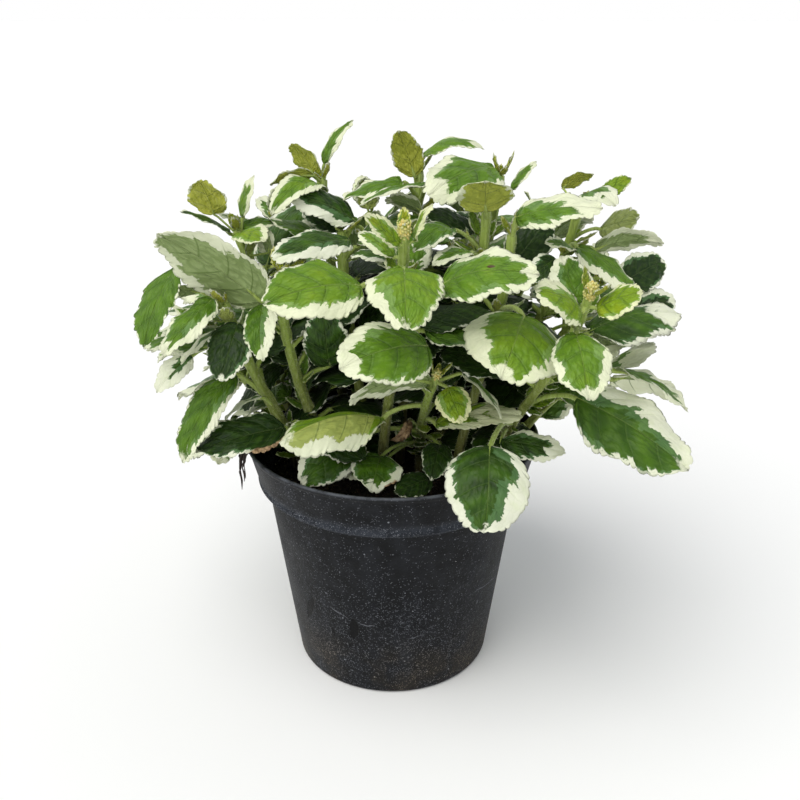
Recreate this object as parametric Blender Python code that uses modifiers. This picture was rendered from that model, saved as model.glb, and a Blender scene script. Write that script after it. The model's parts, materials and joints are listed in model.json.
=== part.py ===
"""Potted plectranthus: a black nursery pot, its soil, and leafy stems with crenate leaves in opposite pairs.

Lengths are in millimetres until a mesh is made, where MM turns them into metres. +Z is up, the origin is
the middle of the pot's underside, and the side that is seen best looks to -Y.
"""

import math
import random

import bmesh
import bpy
from mathutils import Matrix, Vector
from mathutils.bvhtree import BVHTree

MM = 0.001

# The pot: a 150 mm nursery pot
RIM_RADIUS = 75.0
POT_HEIGHT = 127.0
BASE_RADIUS = 51.8
LEDGE_RADIUS = 69.6
BODY_TOP_RADIUS = 65.4
LEDGE_Z = 102.4
LEDGE_DEPTH = 3.6
LEDGE_BULGE = 0.6
WALL = 1.5
FLOOR = 2.0
LIP = 0.5
LIP_DEPTH = 3.2
FOOT_ROUND = 1.3
DRAIN_HOLES = 6
DRAIN_RADIUS = 4.5
DRAIN_CIRCLE = 34.0
DRAIN_SIDES = 8
POT_SIDES = 36
CREASE = math.radians(30)

# The soil, 23 mm under the rim, and the holes that the stems stand in
SOIL_TOP = 104.0
SOIL_EDGE_DROP = 1.5
SOIL_FLAT = 0.82
SOIL_SIDES = 24
FIT = 0.3
HOLE_DEPTH = 10.0
HOLE_RADIUS = 3.4
HOLE_SIDES = 4
STRAIGHT_ABOVE_SOIL = 2.0

# A stem: square in section, these are the half diagonals at its foot and tip
STEM_FOOT = 2.5
STEM_TIP = 1.6
STEM_RINGS = 5
STEM_RISE = 0.35
STEM_AIM = 0.3
BUD_LENGTH = 3.4
BUD_RADIUS = 2.0

# A leaf: its blade is a lens in section, this thick at its middle, on a three-sided stalk
BLADE_THICKNESS = 1.3
THICK_FROM = 36.0
STALK = 0.85
YOUNG = 19.0
YOUNG_STALK = 0.64
STALK_BEND_FROM = 15.0
STALK_BOW = Vector((0.0, 0.0, 0.1))
LOBE_DEPTH = 0.13
LOBES = ((44.0, 5), (28.0, 4), (0.0, 3))
SPINE = {5: (0.3, 0.6, 0.85), 4: (0.35, 0.72), 3: (0.35, 0.72)}
WIDEST_LOW = 0.8
ROUNDNESS = 0.7
EDGE_DROOP = 0.012
WAVES = 2.2
ARCH = (0.05, 0.14)
FOLD = (-0.16, 0.18)
TWIST = (-16.0, 16.0)
WAVE = (0.015, 0.04)
LAG = (0.6, 2.4)

# Leaf pairs down a stem: their distance from the tip, their length, and their angle to the stem in degrees
PAIRS = ((4, 20, 32), (15, 33, 56), (32, 43, 76), (54, 48, 92), (78, 47, 102))
PAIR_SWAY = 14.0
PAIR_OPENING = 10.0
PAIR_DROOP = 0.12
PAIR_SIZE = (0.88, 1.1)
PAIR_WIDTH = (0.66, 0.8)
LOWEST_PAIR = 0.12
BACKWARD = 0.15

# The dome that the leaves fill. The rule makes no leaf deep inside it, where shade thins them out.
DOME_MIDDLE = Vector((0.0, 0.0, 150.0))
DOME_REACH = Vector((130.0, 125.0, 125.0))
SHADE = 0.62
LOWEST = 128.0

# How far apart pieces stay, and the turns and sizes that a leaf tries until it is clear
CLEARANCE = 0.5
POT_CLEARANCE = 1.2
GUARD_SIDES = 48
TURNS = (0, 4, -4, 8, -8, 13, -13, 19, -19, 26, -26, 34, -34)
PLACED_TURN = 13
PLACED_SIZES = (1.0, 0.9)
RULED_TURN = 34
RULED_SIZES = (1.0, 0.82, 0.66)


def leaf(name, at, base, tip, face, width, **form):
    """A leaf with its own place: base and tip of its blade, where its upper side looks, and width by length."""
    blade = dict(name=name, at=at, base=Vector(base), tip=Vector(tip), face=Vector(face))
    return dict(blade, width=width, form=form)


def stem(root, tip, aim=(0, 0, 1), turn=0.0, first=2, pairs=5, lean=0.2, leaves=()):
    """A leafy stem: where it stands in the soil, its tip, the way the tip points, the turn of its top pair,
    and the first and last of the leaf pairs that the rule makes on it."""
    shoot = dict(root=root, tip=Vector(tip), aim=Vector(aim), turn=turn, lean=lean)
    return dict(shoot, first=first, pairs=pairs, leaves=leaves)


STEMS = {
    "stem_front": stem((-6, -22), (5, -66, 243), (0, -0.15, 1), 90, leaves=(
        leaf("front", 0.87, (5, -72, 231), (5, -110, 218), (0, -1, 1.2), 0.8, fold=0.0, arch=0.14),
        leaf("left", 0.79, (-13, -72, 224), (-50, -92, 222), (0, -0.7, 1), 0.78),
        leaf("right", 0.79, (20, -72, 224), (57, -90, 233), (0, -0.7, 1), 0.66),
        leaf("low_left", 0.6, (14, -84, 202), (-20, -108, 201), (0, -0.8, 1), 0.8),
        leaf("young_left", 0.96, (3, -68, 240), (-11, -74, 253), (1, -2, 2), 0.55),
        leaf("young_back", 0.92, (1, -60, 233), (-14, -50, 241), (0, -1, 2), 0.55),
        leaf("young_right", 0.96, (9, -66, 241), (16, -72, 257), (-2, -1, 1), 0.4),
        leaf("bud_leaf", 1.0, (5, -66, 244), (5, -63, 254), (0, -3, 1), 0.55),
        leaf("behind", 0.84, (3, -48, 228), (-18, -42, 229), (0, -0.3, 1), 0.5),
    )),
    "stem_right": stem((46, -10), (81, -72, 219), (0.2, -0.2, 1), 0, lean=0.35, leaves=(
        leaf("big", 0.42, (82, -60, 169), (127, -84, 145), (0.2, -1, 1.2), 0.66, arch=0.08, fold=0.05),
        leaf("front", 0.87, (75, -82, 206), (76, -108, 188), (0, -1, 0.9), 0.8, fold=0.02),
        leaf("over_rim", 0.3, (42, -78, 154), (38, -103, 126), (0, -1, 0.6), 1.0),
        leaf("thin", 0.6, (101, -48, 178), (132, -60, 162), (0.3, 0, 1), 0.5),
        leaf("young_left", 0.96, (78, -75, 213), (56, -90, 227), (1, -1, 1.5), 0.7),
        leaf("young_right", 0.96, (84, -75, 215), (99, -86, 225), (-0.3, -0.7, 1), 0.8),
        leaf("behind", 0.91, (79, -62, 211), (72, -52, 231), (0, -2, 1), 0.85),
        leaf("pale", 0.7, (101, -38, 174), (123, -14, 179), (0.5, 1, 0.8), 0.85),
        leaf("pale_low", 0.55, (102, -38, 170), (134, -36, 160), (0.2, 1, 0.8), 0.6),
        leaf("low_right", 0.26, (50, -52, 144), (78, -62, 143), (0, -0.7, 1), 0.55),
    )),
    "stem_inner": stem((30, -26), (53, -34, 236), (0, -0.1, 1), 40, leaves=(
        leaf("broad", 0.7, (56, -64, 208), (43, -98, 193), (0, -1.1, 1), 1.12, arch=0.14),
        leaf("long", 0.97, (54, -38, 245), (87, -56, 252), (0, -0.7, 1), 0.56),
        leaf("dark", 0.8, (55, -28, 222), (72, -16, 240), (0, -1, 0.3), 0.8),
        leaf("dark_low", 0.8, (71, -44, 228), (58, -54, 220), (0, -0.8, 0.6), 0.65),
    )),
    "stem_fan": stem((22, -6), (42, -28, 245), (0, 0, 1), 20, leaves=(
        leaf("fan", 0.97, (41, -34, 247), (39, -48, 262), (0, 1, 0.7), 1.25, fold=0.1),
        leaf("arching", 0.85, (26, -40, 240), (9, -56, 234), (0, -0.5, 1), 0.6, arch=0.2),
        leaf("dark", 0.85, (36, -20, 233), (16, -8, 243), (0, -0.6, 1), 0.6),
        leaf("edge", 0.8, (34, -45, 231), (17, -60, 229), (0, -0.3, 1), 0.5),
        leaf("back", 0.9, (41, -8, 232), (28, 6, 238), (0, -0.6, 1), 0.7),
    )),
    "stem_outer_right": stem((48, 6), (86, -10, 240), (0.2, 0, 1), 60, lean=0.3, leaves=(
        leaf("curled", 0.97, (85, -18, 248), (96, -40, 250), (0, -0.5, 1), 0.8, arch=0.22),
        leaf("roof", 0.85, (82, -36, 231), (103, -54, 217), (0.2, -0.4, 1), 0.6, fold=-0.2),
        leaf("thin", 0.85, (92, -26, 228), (121, -32, 232), (0, 1, 0.9), 0.6),
        leaf("olive", 0.99, (80, 0, 251), (93, -6, 258), (0.3, 0.8, 1), 0.6),
        leaf("olive_right", 0.98, (99, 4, 246), (114, 8, 254), (0, -1, 0.6), 0.5),
        leaf("back_right", 0.9, (98, -6, 233), (118, 2, 236), (0, 1, 0.5), 0.85),
        leaf("small", 0.85, (80, -36, 230), (66, -46, 235), (0, -0.4, 1), 0.6),
        leaf("shade_high", 0.7, (108, -22, 212), (128, -12, 219), (0.3, -1, 0.8), 0.85),
        leaf("shade_middle", 0.6, (112, -24, 201), (132, -20, 206), (0.3, -1, 0.8), 0.8),
        leaf("shade_low", 0.5, (110, -24, 194), (129, -24, 189), (0.3, -1, 0.8), 0.7),
    )),
    "stem_top": stem((4, 10), (13, 10, 257), (0, 0, 1), 100, leaves=(
        leaf("upright", 0.98, (11, 8, 255), (3, -2, 277), (0, 1, 0.3), 0.6),
        leaf("arched", 0.98, (15, 10, 264), (43, 4, 268), (0, -0.3, 1), 0.5, arch=0.22),
        leaf("left_high", 0.9, (5, -2, 254), (-22, -14, 248), (0, -0.3, 1), 0.5),
        leaf("left_low", 0.85, (16, -12, 253), (-14, -30, 245), (0, 0.1, 1), 0.45),
        leaf("pale", 0.8, (15, -12, 242), (-3, -4, 246), (0, 1, 0.7), 0.6),
    )),
    "stem_top_right": stem((24, 10), (51, 2, 256), (0.1, 0, 1), 10, first=1, leaves=(
        leaf("scalloped", 0.96, (48, 0, 260), (16, -36, 254), (0, -0.8, 1), 0.64),
        leaf("small", 0.97, (56, -4, 251), (67, 0, 263), (-1, -0.6, 1), 0.5),
    )),
    "stem_top_left": stem((-14, 8), (-33, 8, 253), (0, 0, 1), 50, leaves=(
        leaf("upright", 0.97, (-32, 8, 261), (-18, 14, 280), (-1, -1, 0.3), 0.36),
        leaf("olive", 1.0, (-37, 6, 257), (-46, 0, 271), (0.5, 1, 0.6), 0.8),
        leaf("pale", 0.99, (-37, 0, 257), (-55, -14, 255), (0, 1, 0.6), 0.4),
        leaf("arching", 0.95, (-32, 0, 251), (-56, -26, 247), (0, -0.4, 1), 0.5, arch=0.24),
        leaf("dark", 0.88, (-22, -4, 234), (-43, 2, 243), (0, -1, 0.6), 0.7),
    )),
    "stem_left_inner": stem((-12, -8), (-23, -18, 234), (0, 0, 1), 90, first=1, leaves=(
        leaf("dark_white", 0.95, (-16, -14, 238), (-46, -20, 253), (0, -0.7, 1), 0.55),
        leaf("cream_edge", 0.85, (-19, -30, 233), (-50, -56, 231), (0, -0.5, 1), 0.54),
    )),
    "stem_left_high": stem((-32, 10), (-70, -20, 235), (-0.3, 0, 1), 100, leaves=(
        leaf("olive", 0.98, (-80, -20, 243), (-84, -28, 259), (0.3, 1, 0.8), 1.1),
        leaf("dark", 0.95, (-73, -22, 235), (-93, -30, 246), (0, -0.1, 1), 0.45),
        leaf("upright", 0.97, (-68, -18, 241), (-62, -14, 259), (-1, -0.8, 0.5), 0.55),
        leaf("right", 0.95, (-68, -18, 236), (-51, -8, 235), (0, -0.4, 1), 0.55),
        leaf("bright", 0.96, (-68, -24, 235), (-55, -41, 235), (0, -0.6, 1), 0.75),
        leaf("pale", 0.9, (-56, -20, 225), (-62, -12, 236), (0, 1, 0.4), 0.7),
    )),
    "stem_left_big": stem((-30, -8), (-48, -45, 221), (0.1, -0.1, 1), 0, lean=0.5, leaves=(
        leaf("pale_big", 0.9, (-56, -48, 210), (-95, -66, 244), (0.2, 1, 0.5), 0.66, fold=0.1, arch=0.05),
        leaf("hanging", 0.9, (-56, -50, 210), (-55, -70, 192), (-0.3, -1, 0.6), 0.6),
        leaf("small", 0.97, (-44, -47, 224), (-37, -50, 229), (0, -0.6, 1), 0.6),
        leaf("dark_centre", 0.5, (-29, -30, 173), (-31, -46, 206), (0, -1, 0.3), 0.62),
    )),
    "stem_left_low": stem((-40, -14), (-73, -48, 209), (-0.2, -0.1, 1), 30, lean=0.4, leaves=(
        leaf("outer", 0.95, (-96, -36, 222), (-106, -64, 195), (-0.6, -1, 0.5), 0.52),
        leaf("long", 0.4, (-72, -44, 175), (-95, -62, 139), (-0.6, -1, 0.4), 0.42),
        leaf("dark_low", 0.15, (-50, -46, 149), (-88, -64, 145), (0, -0.8, 1), 0.5),
        leaf("cream_side", 0.92, (-77, -54, 213), (-95, -77, 196), (-0.2, -0.6, 1), 0.5),
        leaf("dark_round", 0.86, (-67, -54, 202), (-73, -71, 182), (0, -1, 0.4), 0.75),
        leaf("edge", 0.88, (-70, -50, 200), (-92, -62, 188), (0.3, 0.3, 1), 0.4),
        leaf("white", 0.8, (-90, -48, 185), (-104, -59, 172), (-0.4, -1, 0.6), 0.6),
        leaf("curled", 0.95, (-87, -38, 213), (-97, -48, 215), (0, 1, 0.5), 0.6),
        leaf("dry", 0.3, (-58, -38, 164), (-76, -46, 157), (0.3, 0.3, 1), 0.3),
        leaf("dark_small", 0.3, (-57, -30, 162), (-68, -30, 165), (0, -0.6, 1), 0.7),
        leaf("dark_behind", 0.15, (-53, -32, 144), (-67, -34, 152), (0, -0.6, 1), 0.6),
    )),
    "stem_low_front": stem((14, -4), (20, -46, 174), (0.3, -0.3, 1), 40, pairs=2, lean=0.1, leaves=(
        leaf("rolled", 0.7, (-5, -42, 152), (-49, -73, 154), (0, 0.1, 1), 0.52),
        leaf("right", 0.5, (21, -38, 146), (60, -53, 153), (0, -0.3, 1), 0.46),
        leaf("pale_under", 0.9, (17, -46, 172), (-19, -65, 170), (0, 1, 0.7), 0.54),
        leaf("left_white", 0.35, (-18, -36, 137), (-40, -57, 123), (0, -1, 1), 0.8),
        leaf("small_front", 0.96, (25, -52, 171), (30, -67, 160), (0, -1, 0.7), 0.85),
        leaf("edge_right", 0.95, (32, -46, 176), (50, -56, 157), (1, -0.1, 1), 0.45),
        leaf("left_small", 0.25, (-5, -30, 126), (-25, -46, 128), (0, -0.6, 1), 0.55),
        leaf("at_rim", 0.2, (-6, -40, 128), (-10, -61, 119), (0, -1, 0.8), 1.1),
        leaf("dark", 0.3, (23, -30, 132), (18, -52, 124), (0, -1, 0.8), 0.65),
        leaf("dark_rim", 0.15, (18, -44, 121), (1, -60, 122), (0, -1, 1), 0.6),
    )),
    "stem_back_top_left": stem((2, 24), (-12, 50, 229), (-0.1, 0.1, 1), 45),
    "stem_back_top_right": stem((28, 24), (40, 48, 236), (0.1, 0.1, 1), 10),
    "stem_back_high_left": stem((-20, 24), (-60, 60, 222), (-0.3, 0.3, 1), 80),
    "stem_back_left": stem((-46, 18), (-92, 36, 192), (-0.5, 0.2, 1), 20),
    "stem_back_low_left": stem((-34, 34), (-68, 90, 182), (-0.3, 0.5, 1), 60),
    "stem_back_middle": stem((-8, 38), (-18, 98, 192), (0, 0.5, 1), 0),
    "stem_back_low_middle": stem((16, 38), (36, 92, 196), (0.1, 0.5, 1), 30),
    "stem_back_high_right": stem((38, 32), (80, 48, 219), (0.3, 0.2, 1), 70),
    "stem_back_right": stem((52, 20), (106, 26, 196), (0.5, 0.1, 1), 15),
    "stem_side_right": stem((54, -8), (104, 6, 166), (0.6, 0, 1), 40),
    "stem_side_left": stem((-52, 6), (-92, 14, 176), (-0.5, 0, 1), 75),
    "stem_foot_left": stem((-14, 52), (-44, 110, 150), (-0.3, 0.9, 0.3), 10, lean=0),
    "stem_foot_right": stem((10, 54), (12, 114, 152), (0, 0.9, 0.3), 50, lean=0),
    "stem_foot_outer": stem((32, 46), (66, 98, 154), (0.5, 0.7, 0.3), 85, lean=0),
}


def material(name, colour, roughness):
    """One plain finish."""
    made = bpy.data.materials.new(name)
    made.use_nodes = True
    shader = made.node_tree.nodes["Principled BSDF"]
    shader.inputs["Base Color"].default_value = (*colour, 1.0)
    shader.inputs["Roughness"].default_value = roughness
    return made


def object_from(name, points, faces, collection):
    """A closed object from points in millimetres, with its faces turned outwards."""
    mesh = bpy.data.meshes.new(name)
    mesh.from_pydata([Vector(p) * MM for p in points], [], faces)
    made = bpy.data.objects.new(name, mesh)
    collection.objects.link(made)
    shape = bmesh.new()
    shape.from_mesh(mesh)
    bmesh.ops.recalc_face_normals(shape, faces=shape.faces)
    shape.to_mesh(mesh)
    shape.free()
    return made


def turned(name, profile, sides, collection):
    """A profile of (radius, height) points turned round the Z axis by a Screw modifier."""
    mesh = bpy.data.meshes.new(name)
    points = [(r * MM, 0.0, z * MM) for r, z in profile]
    mesh.from_pydata(points, [(i, i + 1) for i in range(len(points) - 1)], [])
    made = bpy.data.objects.new(name, mesh)
    collection.objects.link(made)
    screw = made.modifiers.new("turn", "SCREW")
    screw.steps = sides
    screw.render_steps = sides
    screw.use_merge_vertices = True
    screw.merge_threshold = 0.0001
    screw.use_smooth_shade = True
    return made


def applied(made):
    """Replaces an object's mesh with what its modifiers make of it."""
    graph = bpy.context.evaluated_depsgraph_get()
    mesh = bpy.data.meshes.new_from_object(made.evaluated_get(graph))
    made.modifiers.clear()
    old = made.data
    made.data = mesh
    mesh.name = made.name
    bpy.data.meshes.remove(old)
    return made


def joined(made, collection, operation, solver):
    """Applies one Boolean with everything in a collection, then removes what the collection holds."""
    cut = made.modifiers.new(operation.lower(), "BOOLEAN")
    cut.operation = operation
    cut.operand_type = "COLLECTION"
    cut.collection = collection
    cut.solver = solver
    applied(made)
    for used in list(collection.objects):
        bpy.data.objects.remove(used)
    bpy.data.collections.remove(collection)
    return made


def helpers(name):
    """A collection for the pieces that a Boolean takes up."""
    made = bpy.data.collections.new(name)
    bpy.context.scene.collection.children.link(made)
    return made


# The pot


def body_radius(z):
    """Outer radius of the pot's tapered body under the ledge."""
    return BASE_RADIUS + (BODY_TOP_RADIUS - BASE_RADIUS) * z / LEDGE_Z


def collar_radius(z):
    """Outer radius of the collar between the ledge and the rim."""
    foot = LEDGE_Z + LEDGE_DEPTH
    return LEDGE_RADIUS + (RIM_RADIUS - LEDGE_RADIUS) * (z - foot) / (POT_HEIGHT - foot)


def inner_radius(z):
    """Radius of the pot's inside."""
    if z > LEDGE_Z + LEDGE_DEPTH / 2:
        return collar_radius(z) - WALL
    return body_radius(z) - WALL


def pot_profile():
    """Up the inside, over the lip, down the outside and across the underside."""
    step = LEDGE_Z + LEDGE_DEPTH / 2
    collar_foot = LEDGE_Z + LEDGE_DEPTH
    inside = [
        (0.0, FLOOR),
        (inner_radius(FLOOR) - WALL, FLOOR),
        (inner_radius(FLOOR + WALL), FLOOR + WALL),
        (inner_radius(step), step),
        (collar_radius(step + WALL) - WALL, step + WALL),
        (RIM_RADIUS - WALL, POT_HEIGHT - LIP * 2),
    ]
    lip = [
        (RIM_RADIUS - WALL + LIP, POT_HEIGHT),
        (RIM_RADIUS, POT_HEIGHT),
        (RIM_RADIUS + LIP, POT_HEIGHT - LIP * 1.6),
        (RIM_RADIUS + LIP * 0.2, POT_HEIGHT - LIP_DEPTH * 0.6),
        (collar_radius(POT_HEIGHT - LIP_DEPTH), POT_HEIGHT - LIP_DEPTH),
    ]
    ledge = [
        (collar_radius(collar_foot + 1.0), collar_foot + 1.0),
        (LEDGE_RADIUS + LEDGE_BULGE, collar_foot - LEDGE_DEPTH * 0.1),
        (LEDGE_RADIUS + LEDGE_BULGE * 0.7, LEDGE_Z + LEDGE_DEPTH / 2),
        (LEDGE_RADIUS - LEDGE_BULGE * 2, LEDGE_Z + LEDGE_DEPTH * 0.1),
        (LEDGE_RADIUS - LEDGE_BULGE * 4, LEDGE_Z),
        (BODY_TOP_RADIUS, LEDGE_Z),
    ]
    foot = [(BASE_RADIUS, FOOT_ROUND), (BASE_RADIUS - FOOT_ROUND, 0.0), (0.0, 0.0)]
    return inside + lip + ledge + foot


def cutter(name, sides, radius, depth, place, collection):
    """An upright prism with its middle at a place."""
    bpy.ops.mesh.primitive_cylinder_add(
        vertices=sides, radius=radius * MM, depth=depth * MM, location=place * MM
    )
    made = bpy.context.object
    made.name = name
    for holder in list(made.users_collection):
        holder.objects.unlink(made)
    collection.objects.link(made)


def finished(made, finish):
    """Gives an object one material."""
    made.data.materials.clear()
    made.data.materials.append(finish)


def make_pot(collection):
    pot = applied(turned("pot", pot_profile(), POT_SIDES, collection))
    drains = helpers("drains")
    for i in range(DRAIN_HOLES):
        angle = math.tau * (i + 0.5) / DRAIN_HOLES
        place = Vector((math.cos(angle), math.sin(angle), 0.0)) * DRAIN_CIRCLE
        cutter(f"drain_{i}", DRAIN_SIDES, DRAIN_RADIUS, FLOOR * 4, place, drains)
    joined(pot, drains, "DIFFERENCE", "EXACT")
    pot.data.shade_smooth()
    pot.data.set_sharp_from_angle(angle=CREASE)
    finished(pot, material("black_plastic", (0.016, 0.019, 0.024), 0.5))


# The soil


def soil_profile():
    """Fills the pot to the soil's level, clear of the wall and the floor."""
    top = SOIL_TOP - SOIL_EDGE_DROP
    low = FLOOR + FIT
    side = FIT + 0.1
    return [
        (0.0, SOIL_TOP),
        (inner_radius(top) * SOIL_FLAT, SOIL_TOP),
        (inner_radius(top) - side, top),
        (inner_radius(low + FLOOR) - side, low + FLOOR),
        (inner_radius(low) - FLOOR - side, low),
        (0.0, low),
    ]


def make_soil(collection):
    soil = applied(turned("soil", soil_profile(), SOIL_SIDES, collection))
    holes = helpers("holes")
    for name, shoot in STEMS.items():
        place = Vector((*shoot["root"], SOIL_TOP))
        cutter(name + "_hole", HOLE_SIDES, HOLE_RADIUS, 2 * HOLE_DEPTH, place, holes)
    joined(soil, holes, "DIFFERENCE", "EXACT")
    finished(soil, material("potting_soil", (0.022, 0.016, 0.012), 0.95))


# Stems: where they run


def stem_path(shoot):
    """The four control points of a stem above the soil, in millimetres."""
    foot = Vector((*shoot["root"], SOIL_TOP + STRAIGHT_ABOVE_SOIL))
    tip = shoot["tip"]
    reach = (tip - foot).length
    out = Vector((tip.x - foot.x, tip.y - foot.y, 0.0)) * shoot["lean"]
    rise = foot + out + Vector((0.0, 0.0, reach * STEM_RISE))
    return foot, rise, tip - shoot["aim"].normalized() * reach * STEM_AIM, tip


def along(shoot, t):
    """A point on the stem, from 0 at the soil to 1 at its tip."""
    a, b, c, d = shoot["path"]
    s = 1.0 - t
    return a * s**3 + b * 3 * s * s * t + c * 3 * s * t * t + d * t**3


def heading(shoot, t):
    """The stem's direction at a point."""
    ahead = min(t + 0.02, 1.0)
    return (along(shoot, ahead) - along(shoot, ahead - 0.02)).normalized()


def stem_half(t):
    return STEM_FOOT + (STEM_TIP - STEM_FOOT) * t


def stem_mesh(name, shoot, extra=0.0):
    """The square stem from the foot in its hole to its tip: a tapered curve made into a welded mesh."""
    foot = Vector((*shoot["root"], SOIL_TOP - HOLE_DEPTH + FIT))
    line = bpy.data.curves.new(name, "CURVE")
    line.dimensions = "3D"
    line.bevel_depth = MM
    line.bevel_resolution = 0
    line.use_fill_caps = True
    run = line.splines.new("POLY")
    run.points.add(STEM_RINGS + 1)
    places = [foot] + [along(shoot, i / STEM_RINGS) for i in range(STEM_RINGS + 1)]
    for i, (point, place) in enumerate(zip(run.points, places)):
        point.co = (*(place * MM), 1.0)
        point.radius = stem_half(max(i - 1, 0) / STEM_RINGS) + extra
    guide = bpy.data.objects.new(name + "_line", line)
    bpy.context.scene.collection.objects.link(guide)
    graph = bpy.context.evaluated_depsgraph_get()
    mesh = bpy.data.meshes.new_from_object(guide.evaluated_get(graph))
    bpy.data.objects.remove(guide)
    shape = bmesh.new()
    shape.from_mesh(mesh)
    bmesh.ops.remove_doubles(shape, verts=shape.verts, dist=0.01 * MM)
    bmesh.ops.triangulate(shape, faces=shape.faces)
    bmesh.ops.recalc_face_normals(shape, faces=shape.faces)
    shape.to_mesh(mesh)
    shape.free()
    mesh.name = name
    return mesh


# Leaves: their form and their places


def half_outline(v):
    """Half width along the blade, with 1 at its widest, without its lobes."""
    return math.sin(math.pi * min(v, 1.0) ** WIDEST_LOW) ** ROUNDNESS


def formed(blade, name):
    """Adds the draws that give each leaf its own bend, fold, twist and waves."""
    draw = random.Random(name)
    form = dict(
        arch=draw.uniform(*ARCH),
        fold=draw.uniform(*FOLD),
        twist=math.radians(draw.uniform(*TWIST)),
        wave=draw.uniform(*WAVE),
        phase=draw.uniform(0, math.tau),
        lag=draw.uniform(*LAG),
    )
    form.update(blade["form"])
    return dict(blade, form=form)


def blade_point(blade, u, v, lift=0.0, grow=1.0):
    """A point of the blade: u from -1 to 1 across, v from 0 to 1 along, lifted off its middle surface."""
    form = blade["form"]
    chord = blade["tip"] - blade["base"]
    length = chord.length
    way = chord / length
    up = (blade["face"] - way * blade["face"].dot(way)).normalized()
    up = Matrix.Rotation(form["twist"] * (v - 0.4), 3, way) @ up
    across = up.cross(way)
    half = length * blade["width"] / 2 * half_outline(v) * grow
    out = abs(u) * half
    phase = form["phase"] + (form["lag"] if u > 0 else 0)
    wave = form["wave"] * length * u * u * math.sin(WAVES * math.tau * v + phase)
    arch = form["arch"] * length * 4 * v * (1 - v)
    rise = arch + form["fold"] * out - EDGE_DROOP * out * out + wave
    return blade["base"] + chord * v + across * u * half + up * (rise + lift)


def lobes_of(blade):
    """How many scallops a side of the blade has."""
    length = (blade["tip"] - blade["base"]).length
    return next(count for least, count in LOBES if length > least)


def edge_places(lobes):
    """Where the scallops' tops and notches lie along the blade, closer together towards its round tip."""
    count = 2 * lobes - 1
    return [0.04 + 0.95 * (1.0 - (1.0 - (k + 0.6) / (count + 0.2)) ** 1.35) for k in range(count)]


def stalk_rings(start, blade, way, across, size):
    """Three-cornered rings from the stem to the blade's base. A long stalk bows up in the middle."""
    base = blade["base"]
    run = base - start
    rings = [(start, run), (base, way)]
    if run.length > STALK_BEND_FROM:
        bend = start + run / 2 + STALK_BOW * run.length
        rings = [(start, bend - start), (bend, run), (base, way)]
    points = []
    for place, ahead in rings:
        ahead = ahead.normalized()
        side = across - ahead * across.dot(ahead)
        if side.length < 0.2:
            side = blade["face"] - ahead * blade["face"].dot(ahead)
        side.normalize()
        points += [place + side * size, place - side * size, place - ahead.cross(side) * size * 1.4]
    return points


def leaf_shape(shoot, blade, extra=0.0):
    """A leaf as one closed loft: a three-sided stalk from the stem, then the crenate blade, a lens in
    section.

    Returns the points, all faces, and how many faces belong to the stalk. The extra swells it all round.
    """
    length = (blade["tip"] - blade["base"]).length
    thick = BLADE_THICKNESS * (0.75 + 0.25 * min(length / THICK_FROM, 1.0)) / 2 + extra
    size = (YOUNG_STALK if length < YOUNG else STALK) + extra
    grow = 1.0 + 2 * extra / (length * blade["width"])
    way = (blade_point(blade, 0, 0.1) - blade["base"]).normalized()
    across = (blade_point(blade, 1, 0.3) - blade_point(blade, -1, 0.3)).normalized()
    points = stalk_rings(along(shoot, blade["at"]), blade, way, across, size)
    faces = [(0, 1, 2)]
    near = len(points) - 3
    for ring in range(0, near, 3):
        for k in range(3):
            a, b = ring + k, ring + (k + 1) % 3
            faces += [(a, b, b + 3), (a, b + 3, a + 3)]
    stalk_faces = len(faces)

    def add(u, v, lift):
        points.append(blade_point(blade, u, v, lift, grow))
        return len(points) - 1

    lobes = lobes_of(blade)
    spine_at = SPINE[lobes]
    edge_at = edge_places(lobes)
    over = [add(0, v, thick) for v in spine_at]
    under = [add(0, v, -thick) for v in spine_at]
    end = add(0, 1.0 + extra / length, 0.0)
    faces.append((near, near + 1, over[0]))
    for corner, side in ((near, 1.0), (near + 1, -1.0)):
        edge = [add(side * (1.0 - LOBE_DEPTH * (k % 2)), v, 0.0) for k, v in enumerate(edge_at)]
        rim = ([corner, *edge, end], [0.0, *edge_at, 1.0])
        for first, spine in ((corner, over), (near + 2, under)):
            faces += zipped(*rim, [first, *spine, end], [0.0, *spine_at, 1.0])
    return points, faces, stalk_faces


def zipped(one, one_at, two, two_at):
    """Triangles between two chains that end in the same point."""
    faces = []
    i = j = 0
    while i < len(one) - 1 or j < len(two) - 1:
        if j == len(two) - 1 or (i < len(one) - 1 and one_at[i + 1] <= two_at[j + 1]):
            face = (one[i], one[i + 1], two[j])
            i += 1
        else:
            face = (one[i], two[j + 1], two[j])
            j += 1
        if len(set(face)) == 3:
            faces.append(face)
    return faces


def shaded(place):
    """Whether a place lies deep inside the dome of leaves."""
    off = place - DOME_MIDDLE
    return Vector([off[i] / DOME_REACH[i] for i in range(3)]).length < SHADE


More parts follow.
